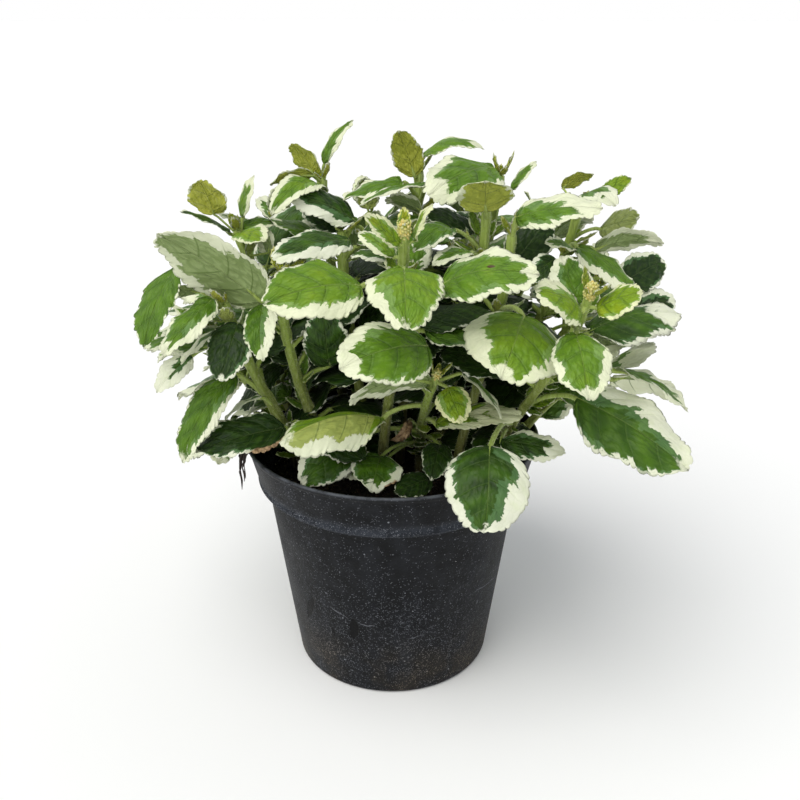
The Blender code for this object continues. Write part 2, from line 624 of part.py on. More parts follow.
def pair_leaf(shoot, at, size, spread, angle, label):
    """One leaf of a pair, at an angle round the stem and spread from it, both in degrees."""
    draw = random.Random(label)
    way = heading(shoot, at)
    level = Vector((0.0, 0.0, 1.0)).cross(way)
    level = level.normalized() if level.length > 0.1 else Vector((1.0, 0.0, 0.0))
    round_by = math.radians(angle + draw.uniform(-PAIR_SWAY, PAIR_SWAY))
    open_by = math.radians(spread + draw.uniform(-PAIR_OPENING, PAIR_OPENING))
    out = level * math.cos(round_by) + way.cross(level) * math.sin(round_by)
    run = way * math.cos(open_by) + out * math.sin(open_by)
    run.z -= draw.uniform(0.0, PAIR_DROOP) * spread / 25
    grow = size * draw.uniform(*PAIR_SIZE)
    stalk = (way * math.cos(open_by * 0.7) + out * math.sin(open_by * 0.7)) * (2.5 + grow * 0.22)
    base = along(shoot, at) + stalk
    run.normalize()
    run.z = max(run.z, (LOWEST - base.z) / grow)
    face = way * 0.6 + Vector((0.0, 0.0, 0.8))
    return leaf(label, at, base, base + run * grow, face, draw.uniform(*PAIR_WIDTH))


def rule_leaves(name, shoot, k):
    """Pair k of a stem's opposite leaves, turned a quarter from the pair above. On a stem whose near leaves
    have their own places, the rule makes only those that look away from the seen side."""
    length = sum((along(shoot, (i + 1) / 20) - along(shoot, i / 20)).length for i in range(20))
    down, size, spread = PAIRS[k]
    at = 1.0 - down / length
    if at < LOWEST_PAIR or k >= shoot["pairs"] or (shoot["leaves"] and k < shoot["first"]):
        return []
    angle = shoot["turn"] + 90 * k
    made = [pair_leaf(shoot, at, size, spread, angle + 180 * i, f"{name}_pair_{k}_{i}") for i in (0, 1)]
    made = [blade for blade in made if not shaded(blade["tip"])]
    if shoot["leaves"]:
        made = [blade for blade in made if (blade["tip"] - blade["base"]).normalized().y > BACKWARD]
    return made


# Bending what would cross another clear of it


def bounds(points):
    low = Vector([min(p[i] for p in points) for i in range(3)])
    high = Vector([max(p[i] for p in points) for i in range(3)])
    return low, high


def apart(one, two):
    return any(one[1][i] < two[0][i] or two[1][i] < one[0][i] for i in range(3))


def lathe_tree(profile, sides):
    """A turned surface to test against."""
    points = []
    faces = []
    for i in range(sides):
        angle = math.tau * i / sides
        points += [Vector((r * math.cos(angle), r * math.sin(angle), z)) for r, z in profile]
    count = len(profile)
    for i in range(sides):
        a, b = i * count, (i + 1) % sides * count
        for k in range(count - 1):
            faces += [(a + k, b + k, b + k + 1), (a + k, b + k + 1, a + k + 1)]
    return BVHTree.FromPolygons(points, faces)


def pot_guard():
    """The pot and the soil with a margin round them, which no leaf may touch."""
    c = POT_CLEARANCE
    profile = [
        (0.5, SOIL_TOP + c),
        (inner_radius(SOIL_TOP + c) - c, SOIL_TOP + c),
        (RIM_RADIUS - WALL - c, POT_HEIGHT),
        (RIM_RADIUS - WALL, POT_HEIGHT + c),
        (RIM_RADIUS + LIP, POT_HEIGHT + c),
        (RIM_RADIUS + LIP + c, POT_HEIGHT - 1.0),
        (LEDGE_RADIUS + LEDGE_BULGE + c, LEDGE_Z),
        (BASE_RADIUS + c, 0.0),
    ]
    return lathe_tree(profile, GUARD_SIDES)


def leaf_trees(shoot, blade):
    """What is tested for one leaf: its box, its whole surface, and its blade alone, all a little swollen."""
    points, faces, stalk_faces = leaf_shape(shoot, blade, CLEARANCE)
    whole = BVHTree.FromPolygons(points, faces)
    return bounds(points), whole, BVHTree.FromPolygons(points, faces[stalk_faces:])


def is_clear(owner, box, whole, blade, placed, guard):
    if whole.overlap(guard):
        return False
    for other, other_box, other_whole, other_blade in placed:
        if apart(box, other_box):
            continue
        if other == owner:
            if blade.overlap(other_blade):
                return False
        elif whole.overlap(other_whole):
            return False
    return True


def bends(most):
    """Turns to try, in degrees about the upright and about the level axis, the smallest first."""
    steps = [step for step in TURNS if abs(step) <= most]
    return sorted(((a, b) for a in steps for b in steps), key=lambda pair: abs(pair[0]) + abs(pair[1]))


def bent(shoot, blade, about_up, about_level, size):
    """The same leaf turned round its foot on the stem, and made smaller."""
    start = along(shoot, blade["at"])
    run = blade["tip"] - start
    level = run.cross(Vector((0, 0, 1)))
    if level.length < 0.01:
        level = Vector((1, 0, 0))
    turn = Matrix.Rotation(math.radians(about_up), 3, "Z") @ Matrix.Rotation(
        math.radians(about_level), 3, level.normalized()
    )
    base = start + turn @ (blade["base"] - start)
    tip = base + turn @ (blade["tip"] - blade["base"]) * size
    return dict(blade, base=base, tip=tip, face=turn @ blade["face"])


def settle(owner, shoot, blade, placed, guard, most, sizes):
    """Bends a leaf until it is clear of the rest. Returns None where there is no room for it."""
    for size in sizes:
        for about_up, about_level in bends(most):
            tried = bent(shoot, blade, about_up, about_level, size)
            box, whole, alone = leaf_trees(shoot, tried)
            if is_clear(owner, box, whole, alone, placed, guard):
                placed.append((owner, box, whole, alone))
                return tried
    return None


def grow_all():
    """Settles every leaf round the stems: first those with their own places, then the ruled ones."""
    placed = []
    guard = pot_guard()
    for name, shoot in STEMS.items():
        shoot["path"] = stem_path(shoot)
        shoot["blades"] = []
        mesh = stem_mesh(name, shoot, CLEARANCE)
        points = [v.co / MM for v in mesh.vertices]
        tree = BVHTree.FromPolygons(points, [tuple(f.vertices) for f in mesh.polygons])
        placed.append((name, bounds(points), tree, tree))
        bpy.data.meshes.remove(mesh)
    for name, shoot in STEMS.items():
        for blade in shoot["leaves"]:
            ready = formed(blade, name + blade["name"])
            done = settle(name, shoot, ready, placed, guard, PLACED_TURN, PLACED_SIZES)
            if done is None:
                raise ValueError(f"no room for {blade['name']} on {name}")
            shoot["blades"].append(done)
    for k in range(len(PAIRS)):
        for name, shoot in STEMS.items():
            for blade in rule_leaves(name, shoot, k):
                ready = formed(blade, blade["name"])
                done = settle(name, shoot, ready, placed, guard, RULED_TURN, RULED_SIZES)
                if done:
                    shoot["blades"].append(done)


def make_stem(name, shoot, collection, finish):
    """One stem with its bud and leaves, joined into one solid."""
    made = bpy.data.objects.new(name, stem_mesh(name, shoot))
    collection.objects.link(made)
    parts = helpers(name + "_leaves")
    for blade in shoot["blades"]:
        points, faces, _ = leaf_shape(shoot, blade)
        object_from(f"{name}_{blade['name']}", points, faces, parts)
    bpy.ops.mesh.primitive_ico_sphere_add(subdivisions=1, radius=MM, location=shoot["tip"] * MM)
    bud = bpy.context.object
    bud.scale = (BUD_RADIUS, BUD_RADIUS, BUD_LENGTH)
    for holder in list(bud.users_collection):
        holder.objects.unlink(bud)
    parts.objects.link(bud)
    joined(made, parts, "UNION", "MANIFOLD")
    finished(made, finish)


def main():
    for old in list(bpy.data.objects):
        bpy.data.objects.remove(old)
    whole = bpy.data.collections.new("potted_plectranthus")
    bpy.context.scene.collection.children.link(whole)
    make_pot(whole)
    make_soil(whole)
    grow_all()
    finish = material("green_leaf", (0.075, 0.19, 0.03), 0.45)
    for name, shoot in STEMS.items():
        make_stem(name, shoot, whole, finish)


main()
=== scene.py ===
"""Dresses the potted plectranthus: a black nursery pot, its soil, and hairy stems with cream-edged leaves.

Lengths are in millimetres until a mesh is made, where MM turns them into metres.
"""

import json
import math
import random

import bmesh
import bpy
import numpy as np
from mathutils import Matrix, Vector
from mathutils.bvhtree import BVHTree

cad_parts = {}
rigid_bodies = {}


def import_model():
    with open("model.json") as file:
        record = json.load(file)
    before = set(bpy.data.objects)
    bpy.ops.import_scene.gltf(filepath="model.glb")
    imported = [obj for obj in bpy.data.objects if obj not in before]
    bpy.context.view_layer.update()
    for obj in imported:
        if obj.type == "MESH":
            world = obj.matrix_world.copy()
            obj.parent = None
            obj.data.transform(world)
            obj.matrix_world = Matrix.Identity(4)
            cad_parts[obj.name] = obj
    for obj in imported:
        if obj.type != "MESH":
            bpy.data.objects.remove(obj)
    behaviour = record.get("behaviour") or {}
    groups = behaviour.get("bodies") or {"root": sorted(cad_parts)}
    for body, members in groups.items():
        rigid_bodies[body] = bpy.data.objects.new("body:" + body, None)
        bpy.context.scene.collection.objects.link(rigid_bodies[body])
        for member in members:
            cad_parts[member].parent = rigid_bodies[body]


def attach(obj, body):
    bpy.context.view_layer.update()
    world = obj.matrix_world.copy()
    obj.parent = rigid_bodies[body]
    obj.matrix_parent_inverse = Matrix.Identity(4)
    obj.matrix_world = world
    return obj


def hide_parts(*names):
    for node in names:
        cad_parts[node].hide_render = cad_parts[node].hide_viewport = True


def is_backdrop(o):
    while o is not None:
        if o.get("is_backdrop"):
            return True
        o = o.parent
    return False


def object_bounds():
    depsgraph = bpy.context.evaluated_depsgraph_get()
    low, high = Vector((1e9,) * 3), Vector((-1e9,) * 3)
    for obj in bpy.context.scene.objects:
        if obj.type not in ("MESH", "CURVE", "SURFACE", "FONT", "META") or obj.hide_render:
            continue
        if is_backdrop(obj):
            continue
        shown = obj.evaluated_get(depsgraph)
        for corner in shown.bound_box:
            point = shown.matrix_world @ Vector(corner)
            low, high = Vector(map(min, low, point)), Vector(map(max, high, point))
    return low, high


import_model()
cad_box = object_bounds()

# The studio. The camera stands where the photograph was taken from, 44 cm in front of the pot and 33 cm up.
# The plant stands on a plain white floor under a wide soft lamp from the upper left, in a pale room that is
# bright round its foot and dimmer overhead.
MM = 0.001


def linked(name, data):
    """A new object in the scene."""
    made = bpy.data.objects.new(name, data)
    bpy.context.scene.collection.objects.link(made)
    return made


camera = linked("camera", bpy.data.cameras.new("camera"))
camera.data.sensor_width = 36.0
camera.data.lens = 42.1
camera.location = (0.0, -0.4425, 0.3271)
camera.rotation_euler = (math.radians(67.45), 0.0, math.radians(-0.51))
bpy.context.scene.camera = camera
bpy.context.scene.view_settings.view_transform = "Standard"
sun = linked("soft_sun", bpy.data.lights.new("soft_sun", "SUN"))
sun.data.energy = 2.2
sun.data.angle = math.radians(60)
sun.data.color = (1.0, 0.985, 0.95)
sun.rotation_euler = Vector((-0.42, -0.5, 1.0)).to_track_quat("Z", "Y").to_euler()


def new_material(name):
    """A node material, its tree and its Principled shader. The functions below add to the tree in hand."""
    made = bpy.data.materials.new(name)
    made.use_nodes = True
    return made, made.node_tree, made.node_tree.nodes["Principled BSDF"]


def wire(value, socket):
    """Links an output to a socket, or sets the socket's own value."""
    if isinstance(value, bpy.types.NodeSocket):
        tree.links.new(value, socket)
    else:
        socket.default_value = value


def add(kind, inputs=None, **settings):
    """Adds one node, sets it up, and links or sets its inputs."""
    made = tree.nodes.new(kind)
    for key, value in settings.items():
        setattr(made, key, value)
    for key, value in (inputs or {}).items():
        wire(value, made.inputs[key])
    return made


def split(place):
    """The three parts of a place or direction."""
    return add("ShaderNodeSeparateXYZ", {"Vector": place}).outputs


def ramp(value, low, high, to_low=0.0, to_high=1.0):
    """Turns a value between two limits smoothly into another range."""
    limits = {"Value": value, "From Min": low, "From Max": high, "To Min": to_low, "To Max": to_high}
    return add("ShaderNodeMapRange", limits, interpolation_type="SMOOTHSTEP").outputs[0]


def mix(factor, one, two):
    """Mixes two colours."""
    made = add("ShaderNodeMix", {0: factor}, data_type="RGBA")
    for key, value in ((6, one), (7, two)):
        wire((*value, 1.0) if isinstance(value, tuple) else value, made.inputs[key])
    return made.outputs[2]


def surface(colour, rough, height=None, strength=0.0, deep=0.0, specular=0.5, sheen=0.0):
    """Gives the material in hand its colour, its roughness, its relief and what is the same all over it."""
    wire(colour, shader.inputs["Base Color"])
    wire(rough, shader.inputs["Roughness"])
    shader.inputs["Specular IOR Level"].default_value = specular
    shader.inputs["Sheen Weight"].default_value = sheen
    if height is not None:
        bump = add("ShaderNodeBump", {"Strength": strength, "Distance": deep, "Height": height})
        wire(bump.outputs[0], shader.inputs["Normal"])


world = bpy.data.worlds.new("pale_room")
world.use_nodes = True
tree = world.node_tree
aim = split(add("ShaderNodeTexCoord").outputs["Generated"])["Z"]
room = mix(ramp(aim, 0.02, 0.3), (1.0, 1.0, 1.0), (0.5, 0.515, 0.54))
wire(room, tree.nodes["Background"].inputs["Color"])
bpy.context.scene.world = world

floor = linked("floor", bpy.data.meshes.new("floor"))
floor_shape = bmesh.new()
bmesh.ops.create_circle(floor_shape, cap_ends=True, segments=128, radius=40.0)
floor_shape.to_mesh(floor.data)
floor_shape.free()
floor_material, tree, shader = new_material("white_floor")
surface((0.96, 0.96, 0.95, 1.0), 0.8, specular=0.2)
floor.data.materials.append(floor_material)
floor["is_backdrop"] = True


# The pot: one thin wall of black polypropylene, blown or moulded in one piece, with a rolled lip, a
# tapered collar over a rounded ledge, a tapered body, and drain holes in its floor. Potting dust lies on
# it, thickest on the ledge and the lower body. A little more dust is laid on the left as painted light on
# the side that the lamp lights. The lighter band round the rim's top edge is worn plastic with a painted
# highlight.
RIM_RADIUS = 75.0
POT_HEIGHT = 127.0
BASE_RADIUS = 51.8
LEDGE_RADIUS = 69.6
BODY_TOP_RADIUS = 65.4
LEDGE_Z = 102.4
LEDGE_DEPTH = 3.6
LEDGE_BULGE = 0.6
WALL = 1.5
FLOOR = 2.0
LIP = 0.5
LIP_DEPTH = 3.2
FOOT_ROUND = 1.3
DRAIN_HOLES = 6
DRAIN_RADIUS = 4.5
DRAIN_CIRCLE = 34.0
# In metres: the radius at which the marks on the wall are unrolled, and how ragged their edges are.
WALL_MIDDLE = 0.0575
RAGGED = 0.0032


def body_radius(z):
    """Outer radius of the pot's tapered body under the ledge."""
    return BASE_RADIUS + (BODY_TOP_RADIUS - BASE_RADIUS) * z / LEDGE_Z


def collar_radius(z):
    """Outer radius of the collar between the ledge and the rim."""
    foot = LEDGE_Z + LEDGE_DEPTH
    return LEDGE_RADIUS + (RIM_RADIUS - LEDGE_RADIUS) * (z - foot) / (POT_HEIGHT - foot)


def inner_radius(z):
    """Radius of the pot's inside."""
    if z > LEDGE_Z + LEDGE_DEPTH / 2:
        return collar_radius(z) - WALL
    return body_radius(z) - WALL


def rounded(points, reach, steps=4):
    """Rounds the corners of a profile, each by its own reach."""
    made = [points[0]]
    for i in range(1, len(points) - 1):
        here = Vector(points[i])
        before = Vector(points[i - 1]) - here
        after = Vector(points[i + 1]) - here
        size = min(reach, before.length * 0.45, after.length * 0.45)
        one = here + before.normalized() * size
        two = here + after.normalized() * size
        for k in range(steps + 1):
            t = k / steps
            made.append(tuple(one * (1 - t) ** 2 + here * 2 * t * (1 - t) + two * t * t))
    return made + [points[-1]]


def turned_mesh(name, profile, sides):
    """A profile turned round the Z axis, from the axis back to the axis."""
    mesh = bpy.data.meshes.new(name)
    points = [(r * MM, 0.0, z * MM) for r, z in profile]
    mesh.from_pydata(points, [(i, i + 1) for i in range(len(points) - 1)], [])
    made = linked(name, mesh)
    screw = made.modifiers.new("turn", "SCREW")
    screw.steps = sides
    screw.render_steps = sides
    screw.use_merge_vertices = True
    screw.merge_threshold = 0.00001
    screw.use_smooth_shade = True
    return made


def finished(made):
    """Replaces an object's mesh with what its modifiers make of it."""
    graph = bpy.context.evaluated_depsgraph_get()
    mesh = bpy.data.meshes.new_from_object(made.evaluated_get(graph))
    made.modifiers.clear()
    made.data = mesh
    mesh.name = made.name
    return made


collar_foot = LEDGE_Z + LEDGE_DEPTH
step_z = LEDGE_Z + LEDGE_DEPTH / 2
pot_profile = rounded(
    [
        (0.0, FLOOR),
        (inner_radius(FLOOR) - WALL, FLOOR),
        (inner_radius(FLOOR + WALL), FLOOR + WALL),
        (inner_radius(step_z), step_z),
        (collar_radius(step_z + WALL) - WALL, step_z + WALL),
        (RIM_RADIUS - WALL, POT_HEIGHT - LIP * 2),
        (RIM_RADIUS - WALL + LIP, POT_HEIGHT),
        (RIM_RADIUS, POT_HEIGHT),
        (RIM_RADIUS + LIP, POT_HEIGHT - LIP * 1.6),
        (RIM_RADIUS + LIP * 0.2, POT_HEIGHT - LIP_DEPTH * 0.6),
        (collar_radius(POT_HEIGHT - LIP_DEPTH), POT_HEIGHT - LIP_DEPTH),
        (collar_radius(collar_foot + 1.0), collar_foot + 1.0),
        (LEDGE_RADIUS + LEDGE_BULGE, collar_foot - LEDGE_DEPTH * 0.1),
        (LEDGE_RADIUS + LEDGE_BULGE * 0.7, LEDGE_Z + LEDGE_DEPTH / 2),
        (LEDGE_RADIUS - LEDGE_BULGE * 2, LEDGE_Z + LEDGE_DEPTH * 0.1),
        (LEDGE_RADIUS - LEDGE_BULGE * 4, LEDGE_Z),
        (BODY_TOP_RADIUS, LEDGE_Z),
        (BASE_RADIUS, FOOT_ROUND),
        (BASE_RADIUS - FOOT_ROUND, 0.0),
        (0.0, 0.0),
    ],
    1.0,
)
pot = turned_mesh("nursery_pot", pot_profile, 144)
drains = bpy.data.collections.new("drains")
bpy.context.scene.collection.children.link(drains)
for i in range(DRAIN_HOLES):
    angle = math.tau * (i + 0.5) / DRAIN_HOLES
    bpy.ops.mesh.primitive_cylinder_add(
        vertices=32,
        radius=DRAIN_RADIUS * MM,
        depth=4 * FLOOR * MM,
        location=(math.cos(angle) * DRAIN_CIRCLE * MM, math.sin(angle) * DRAIN_CIRCLE * MM, 0.0),
    )
    hole = bpy.context.object
    for holder in list(hole.users_collection):
        holder.objects.unlink(hole)
    drains.objects.link(hole)
finished(pot)
cut = pot.modifiers.new("drains", "BOOLEAN")
cut.operation = "DIFFERENCE"
cut.operand_type = "COLLECTION"
cut.collection = drains
cut.solver = "EXACT"
finished(pot)
for hole in list(drains.objects):
    bpy.data.objects.remove(hole)
bpy.data.collections.remove(drains)
pot.data.shade_smooth()
pot.data.set_sharp_from_angle(angle=math.radians(40))


def new_group(name, kind, output, **inputs):
    """A node tree with named inputs and one output: the tree, its inputs, and the socket that it ends in."""
    made = bpy.data.node_groups.new(name, kind)
    for key, socket in inputs.items():
        made.interface.new_socket(key, in_out="INPUT", socket_type="NodeSocket" + socket)
    key, socket = output
    made.interface.new_socket(key, in_out="OUTPUT", socket_type="NodeSocket" + socket)
    return made, made.nodes.new("NodeGroupInput").outputs, made.nodes.new("NodeGroupOutput").inputs[0]


def calc(operation, *values, clamp=False):
    """One Math node, by its output."""
    return add("ShaderNodeMath", dict(enumerate(values)), operation=operation, use_clamp=clamp).outputs[0]


def times(one, two):
    """One value times another."""
    return calc("MULTIPLY", one, two)


def total(one, two):
    """One value and another together."""
    return calc("ADD", one, two)


def less(one, two):
    """One value less another."""
    return calc("SUBTRACT", one, two)


def scaled(value, by, start):
    """A value times another, on top of a start."""
    return calc("MULTIPLY_ADD", value, by, start)


def vector(operation, *values):
    """One Vector Math node, by its output."""
    made = add("ShaderNodeVectorMath", dict(enumerate(values)), operation=operation)
    return made.outputs["Value" if operation in ("LENGTH", "DISTANCE") else "Vector"]


def joined(*parts):
    """A place made of its parts."""
    return add("ShaderNodeCombineXYZ", dict(enumerate(parts))).outputs[0]


# Small scattered grains with random brightness, for the dust on the pot and the grit in the soil.
speckle, given, result = new_group(
    "speckle", "ShaderNodeTree", ("Mask", "Float"),
    Scale="Float", Size="Float", Share="Float", Vector="Vector",
)
tree = speckle
cells = add("ShaderNodeTexVoronoi", {"Vector": given["Vector"], "Scale": given["Scale"]})
cell_tone = add("ShaderNodeSeparateColor", {"Color": cells.outputs["Color"]}).outputs
near = calc("LESS_THAN", cells.outputs["Distance"], times(cell_tone[1], given["Size"]))
kept = calc("LESS_THAN", cell_tone[0], given["Share"])
wire(times(times(near, kept), scaled(cell_tone[2], 0.7, 0.3)), result)


def grains(place, scale, size, share):
    """Places the speckle group in a material."""
    inputs = {"Vector": place, "Scale": scale, "Size": size, "Share": share}
    return add("ShaderNodeGroup", inputs, node_tree=speckle).outputs["Mask"]


def own_place():
    """Each point's place on the piece itself."""
    return add("ShaderNodeTexCoord").outputs["Object"]


def noise(place, scale, detail=3.0, rough=0.5):
    """A noise texture, by its value."""
    inputs = {"Vector": place, "Scale": scale, "Detail": detail, "Roughness": rough}
    return add("ShaderNodeTexNoise", inputs).outputs[0]


pot_material, tree, shader = new_material("black_plastic")
place = own_place()
x, y, height = split(place)
radius = vector("LENGTH", joined(x, y))
around = times(calc("ARCTAN2", x, times(y, -1.0)), WALL_MIDDLE)
blur = add("ShaderNodeTexNoise", {"Vector": place, "Scale": 260.0, "Detail": 2.0}).outputs["Color"]
ragged = vector("MULTIPLY_ADD", blur, (RAGGED, RAGGED, 0.0), joined(around, height))


def scar(angle, low, wide, tall, lean):
    """A mark on the pot's wall at an angle round it and a height, in degrees and millimetres."""
    middle = (math.radians(angle) * WALL_MIDDLE + RAGGED / 2, low * MM + RAGGED / 2, 0.0)
    turned = add("ShaderNodeMapping", {"Vector": ragged, "Location": middle}, vector_type="TEXTURE")
    turned.inputs["Rotation"].default_value = (0.0, 0.0, math.radians(lean))
    turned.inputs["Scale"].default_value = (wide * MM / 2, tall * MM / 2, 1.0)
    off = vector("LENGTH", turned.outputs[0])
    return ramp(off, 1.1, 0.85)


def any_of(strongest, *others):
    """The strongest of several masks."""
    for mask in others:
        strongest = calc("MAXIMUM", strongest, mask)
    return strongest


chipped = any_of(
    scar(-47, 45, 4.2, 19.0, -24), scar(-20, 42, 4.8, 14.0, -4), scar(-32.5, 36, 1.8, 6.0, 8),
    scar(-23, 30, 1.6, 3.5, -10), scar(-44, 60, 1.2, 5.0, 60),
)
scraped = any_of(
    scar(-13, 45.5, 7.0, 0.9, 4), scar(56, 54, 27.0, 0.5, -8), scar(-28, 50, 12.0, 0.5, -20),
    scar(48, 46, 0.7, 5.0, 0), scar(12, 38, 9.0, 0.4, 12),
)
on_ledge = times(ramp(height, 0.0995, 0.103), ramp(height, 0.1115, 0.1065))
low_down = ramp(height, 0.09, 0.012)
patches = ramp(noise(place, 28.0, 4.0, 0.6), 0.4, 0.72)
streaks = add("ShaderNodeMapping", {"Vector": place, "Scale": (70.0, 70.0, 7.0)}).outputs[0]
streaks = ramp(noise(streaks, 1.0, 3.0, 0.6), 0.48, 0.7)
# Painted light: the dust is laid thicker to the left, which lightens the side of the pot that the lamp
# lights.
painted_lit_side = ramp(x, 0.03, -0.06)
dust_and_lit_side = any_of(times(on_ledge, 1.1), scaled(low_down, 0.52, 0.2))
dust_and_lit_side = total(dust_and_lit_side, times(streaks, 0.16))
dust_and_lit_side = times(dust_and_lit_side, scaled(patches, 0.75, scaled(painted_lit_side, 0.2, 0.4)))
fine_dust = grains(place, 1900.0, 0.6, dust_and_lit_side)
middle_dust = grains(place, 1050.0, 0.42, times(dust_and_lit_side, 0.5))
coarse_dust = grains(place, 520.0, 0.24, times(dust_and_lit_side, 0.13))
specks = grains(place, 230.0, 0.13, 0.035)
brown = times(ramp(height, 0.045, 0.004), ramp(noise(place, 40.0, 4.0, 0.6), 0.4, 0.62))
mottled = noise(place, 120.0, 5.0, 0.7)
base = mix(ramp(mottled, 0.35, 0.7), (0.0018, 0.0022, 0.003), (0.0085, 0.0095, 0.012))
base = mix(times(on_ledge, ramp(mottled, 0.3, 0.65, 0.25, 0.7)), base, (0.04, 0.046, 0.058))
base = mix(times(streaks, 0.3), base, (0.02, 0.023, 0.03))
base = mix(times(brown, 0.45), base, (0.034, 0.028, 0.02))
dust_colour = mix(brown, (0.2, 0.21, 0.235), (0.25, 0.205, 0.15))
base = mix(times(fine_dust, 0.75), base, dust_colour)
base = mix(times(middle_dust, 0.7), base, dust_colour)
base = mix(times(coarse_dust, 0.85), base, mix(brown, (0.36, 0.38, 0.42), (0.4, 0.33, 0.24)))
base = mix(specks, base, (0.6, 0.6, 0.6))
# A patchy lighter band round the rim's outer top edge: worn plastic, with a painted highlight where the lamp
# catches the rim.
rim_wear_and_highlight = times(ramp(height, 0.1255, 0.1268), ramp(radius, 0.0738, 0.0746))
rim_wear_and_highlight = times(rim_wear_and_highlight, ramp(mottled, 0.35, 0.6, 0.2, 0.7))
base = mix(rim_wear_and_highlight, base, (0.13, 0.14, 0.16))
base = mix(times(scraped, ramp(mottled, 0.35, 0.5)), base, (0.12, 0.125, 0.14))
base = mix(chipped, base, (0.001, 0.001, 0.0015))
rough = scaled(patches, 0.15, 0.5)
rough = any_of(rough, times(fine_dust, 0.9), times(on_ledge, 0.75))
grain = total(times(noise(place, 700.0, 3.0, 0.6), 0.7), times(noise(place, 45.0, 2.0), 2.0))
grain = total(grain, times(any_of(fine_dust, middle_dust, specks), 0.8))
grain = less(grain, times(chipped, 0.8))
surface(base, rough, grain, 0.8, 0.0004, specular=0.14)
pot.data.materials.clear()
pot.data.materials.append(pot_material)
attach(pot, "root")
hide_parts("pot")


# The potting soil: dark peat with bark crumbs and a few grains of perlite, filled to 23 mm under the rim
# and pressed level by hand. Geometry Nodes scatter the crumbs over its top.
SOIL_TOP = 104.0
SOIL_EDGE_DROP = 1.5
SOIL_RINGS = 44
SOIL_LEVEL_TO = 0.82
FIT = 0.3
soil_edge = inner_radius(SOIL_TOP - SOIL_EDGE_DROP) - FIT - 0.1
soil_profile = []
for i in range(SOIL_RINGS + 1):
    past = max(0.0, (i / SOIL_RINGS - SOIL_LEVEL_TO) / 0.18)
    soil_profile.append((soil_edge * i / SOIL_RINGS, SOIL_TOP - SOIL_EDGE_DROP * past))
soil_low = FLOOR + FIT
soil_profile += [
    (inner_radius(soil_low + FLOOR) - FIT - 0.1, soil_low + FLOOR),
    (inner_radius(soil_low) - FLOOR - FIT - 0.1, soil_low),
    (0.0, soil_low),
]
soil = finished(turned_mesh("potting_soil", soil_profile, 120))
for vertex in soil.data.vertices:
    if vertex.co.z > (SOIL_TOP - SOIL_EDGE_DROP - 0.1) * MM:
        here = vertex.co / MM
        lumps = math.sin(here.x * 0.21 + 1.0) * math.sin(here.y * 0.17 + 2.0) * 0.9
        lumps += math.sin(here.x * 0.83 + here.y * 0.4) * math.sin(here.y * 0.71 - here.x * 0.3) * 0.6
        vertex.co.z += (lumps - 0.8) * MM * min(1.0, (soil_edge - here.xy.length) / 3.0)

crumb_tree, given, result = new_group(
    "soil_crumbs", "GeometryNodeTree", ("Geometry", "Geometry"),
    Geometry="Geometry", Density="Float", Crumb="Float", Seed="Int", Soil="Material", Crumbs="Material",
)
tree = crumb_tree
upward = split(add("GeometryNodeInputNormal").outputs[0])["Z"]
high = split(add("GeometryNodeInputPosition").outputs[0])["Z"]
on_top = {0: calc("GREATER_THAN", upward, 0.5), 1: calc("GREATER_THAN", high, 0.09)}
on_top = add("FunctionNodeBooleanMath", on_top, operation="AND").outputs[0]
inputs = {"Mesh": given["Geometry"], "Selection": on_top, "Density": given["Density"], "Seed": given["Seed"]}
scatter = add("GeometryNodeDistributePointsOnFaces", inputs)
crumb = add("GeometryNodeMeshIcoSphere", {"Radius": 1.0, "Subdivisions": 1})
turn = add("FunctionNodeRandomValue", {"Seed": given["Seed"]}, data_type="FLOAT_VECTOR")
turn.inputs[1].default_value = (math.tau, math.tau, math.tau)
size = {"Seed": 7, 0: (0.35, 0.3, 0.25), 1: (1.6, 1.1, 0.8)}
size = add("FunctionNodeRandomValue", size, data_type="FLOAT_VECTOR").outputs[0]
size = add("ShaderNodeVectorMath", {0: size, "Scale": given["Crumb"]}, operation="SCALE").outputs[0]


def on_points(scatter, instance, rotation, scale):
    """Real copies of an instance on scattered points."""
    inputs = {"Points": scatter.outputs["Points"], "Instance": instance.outputs["Mesh"]}
    copies = add("GeometryNodeInstanceOnPoints", {**inputs, "Rotation": rotation, "Scale": scale})
    return add("GeometryNodeRealizeInstances", {"Geometry": copies.outputs[0]}).outputs[0]


def finish_with(geometry, material):
    """Gives a geometry its material."""
    return add("GeometryNodeSetMaterial", {"Geometry": geometry, "Material": material}).outputs[0]


both = add("GeometryNodeJoinGeometry")
wire(finish_with(on_points(scatter, crumb, turn.outputs[0], size), given["Crumbs"]), both.inputs[0])
wire(finish_with(given["Geometry"], given["Soil"]), both.inputs[0])
wire(both.outputs[0], result)

soil_material, tree, shader = new_material("peat")
place = own_place()
lump = noise(place, 420.0, 6.0, 0.65)
base = mix(ramp(lump, 0.35, 0.7), (0.007, 0.005, 0.004), (0.045, 0.032, 0.022))
base = mix(grains(place, 260.0, 0.3, 0.16), base, (0.16, 0.1, 0.055))
surface(base, 0.95, lump, 1.0, 0.0012)

crumb_material, tree, shader = new_material("bark_and_perlite")
island = add("ShaderNodeNewGeometry").outputs["Random Per Island"]
base = mix(island, (0.012, 0.008, 0.006), (0.07, 0.045, 0.028))
base = mix(calc("GREATER_THAN", island, 0.965), base, (0.42, 0.4, 0.36))
surface(base, 0.9, noise(own_place(), 900.0, 4.0, 0.6), 0.8, 0.0004)


def with_nodes(made, group, values):
    """Runs a node tree on an object with these input values and keeps the plain mesh."""
    modifier = made.modifiers.new(group.name, "NODES")
    modifier.node_group = group
    for item in group.interface.items_tree:
        if item.item_type == "SOCKET" and item.in_out == "INPUT" and item.name in values:
            modifier[item.identifier] = values[item.name]
    return finished(made)


crumbs = {"Density": 95000.0, "Crumb": 1.15 * MM, "Seed": 3, "Soil": soil_material, "Crumbs": crumb_material}
with_nodes(soil, crumb_tree, crumbs)
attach(soil, "root")
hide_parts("soil")


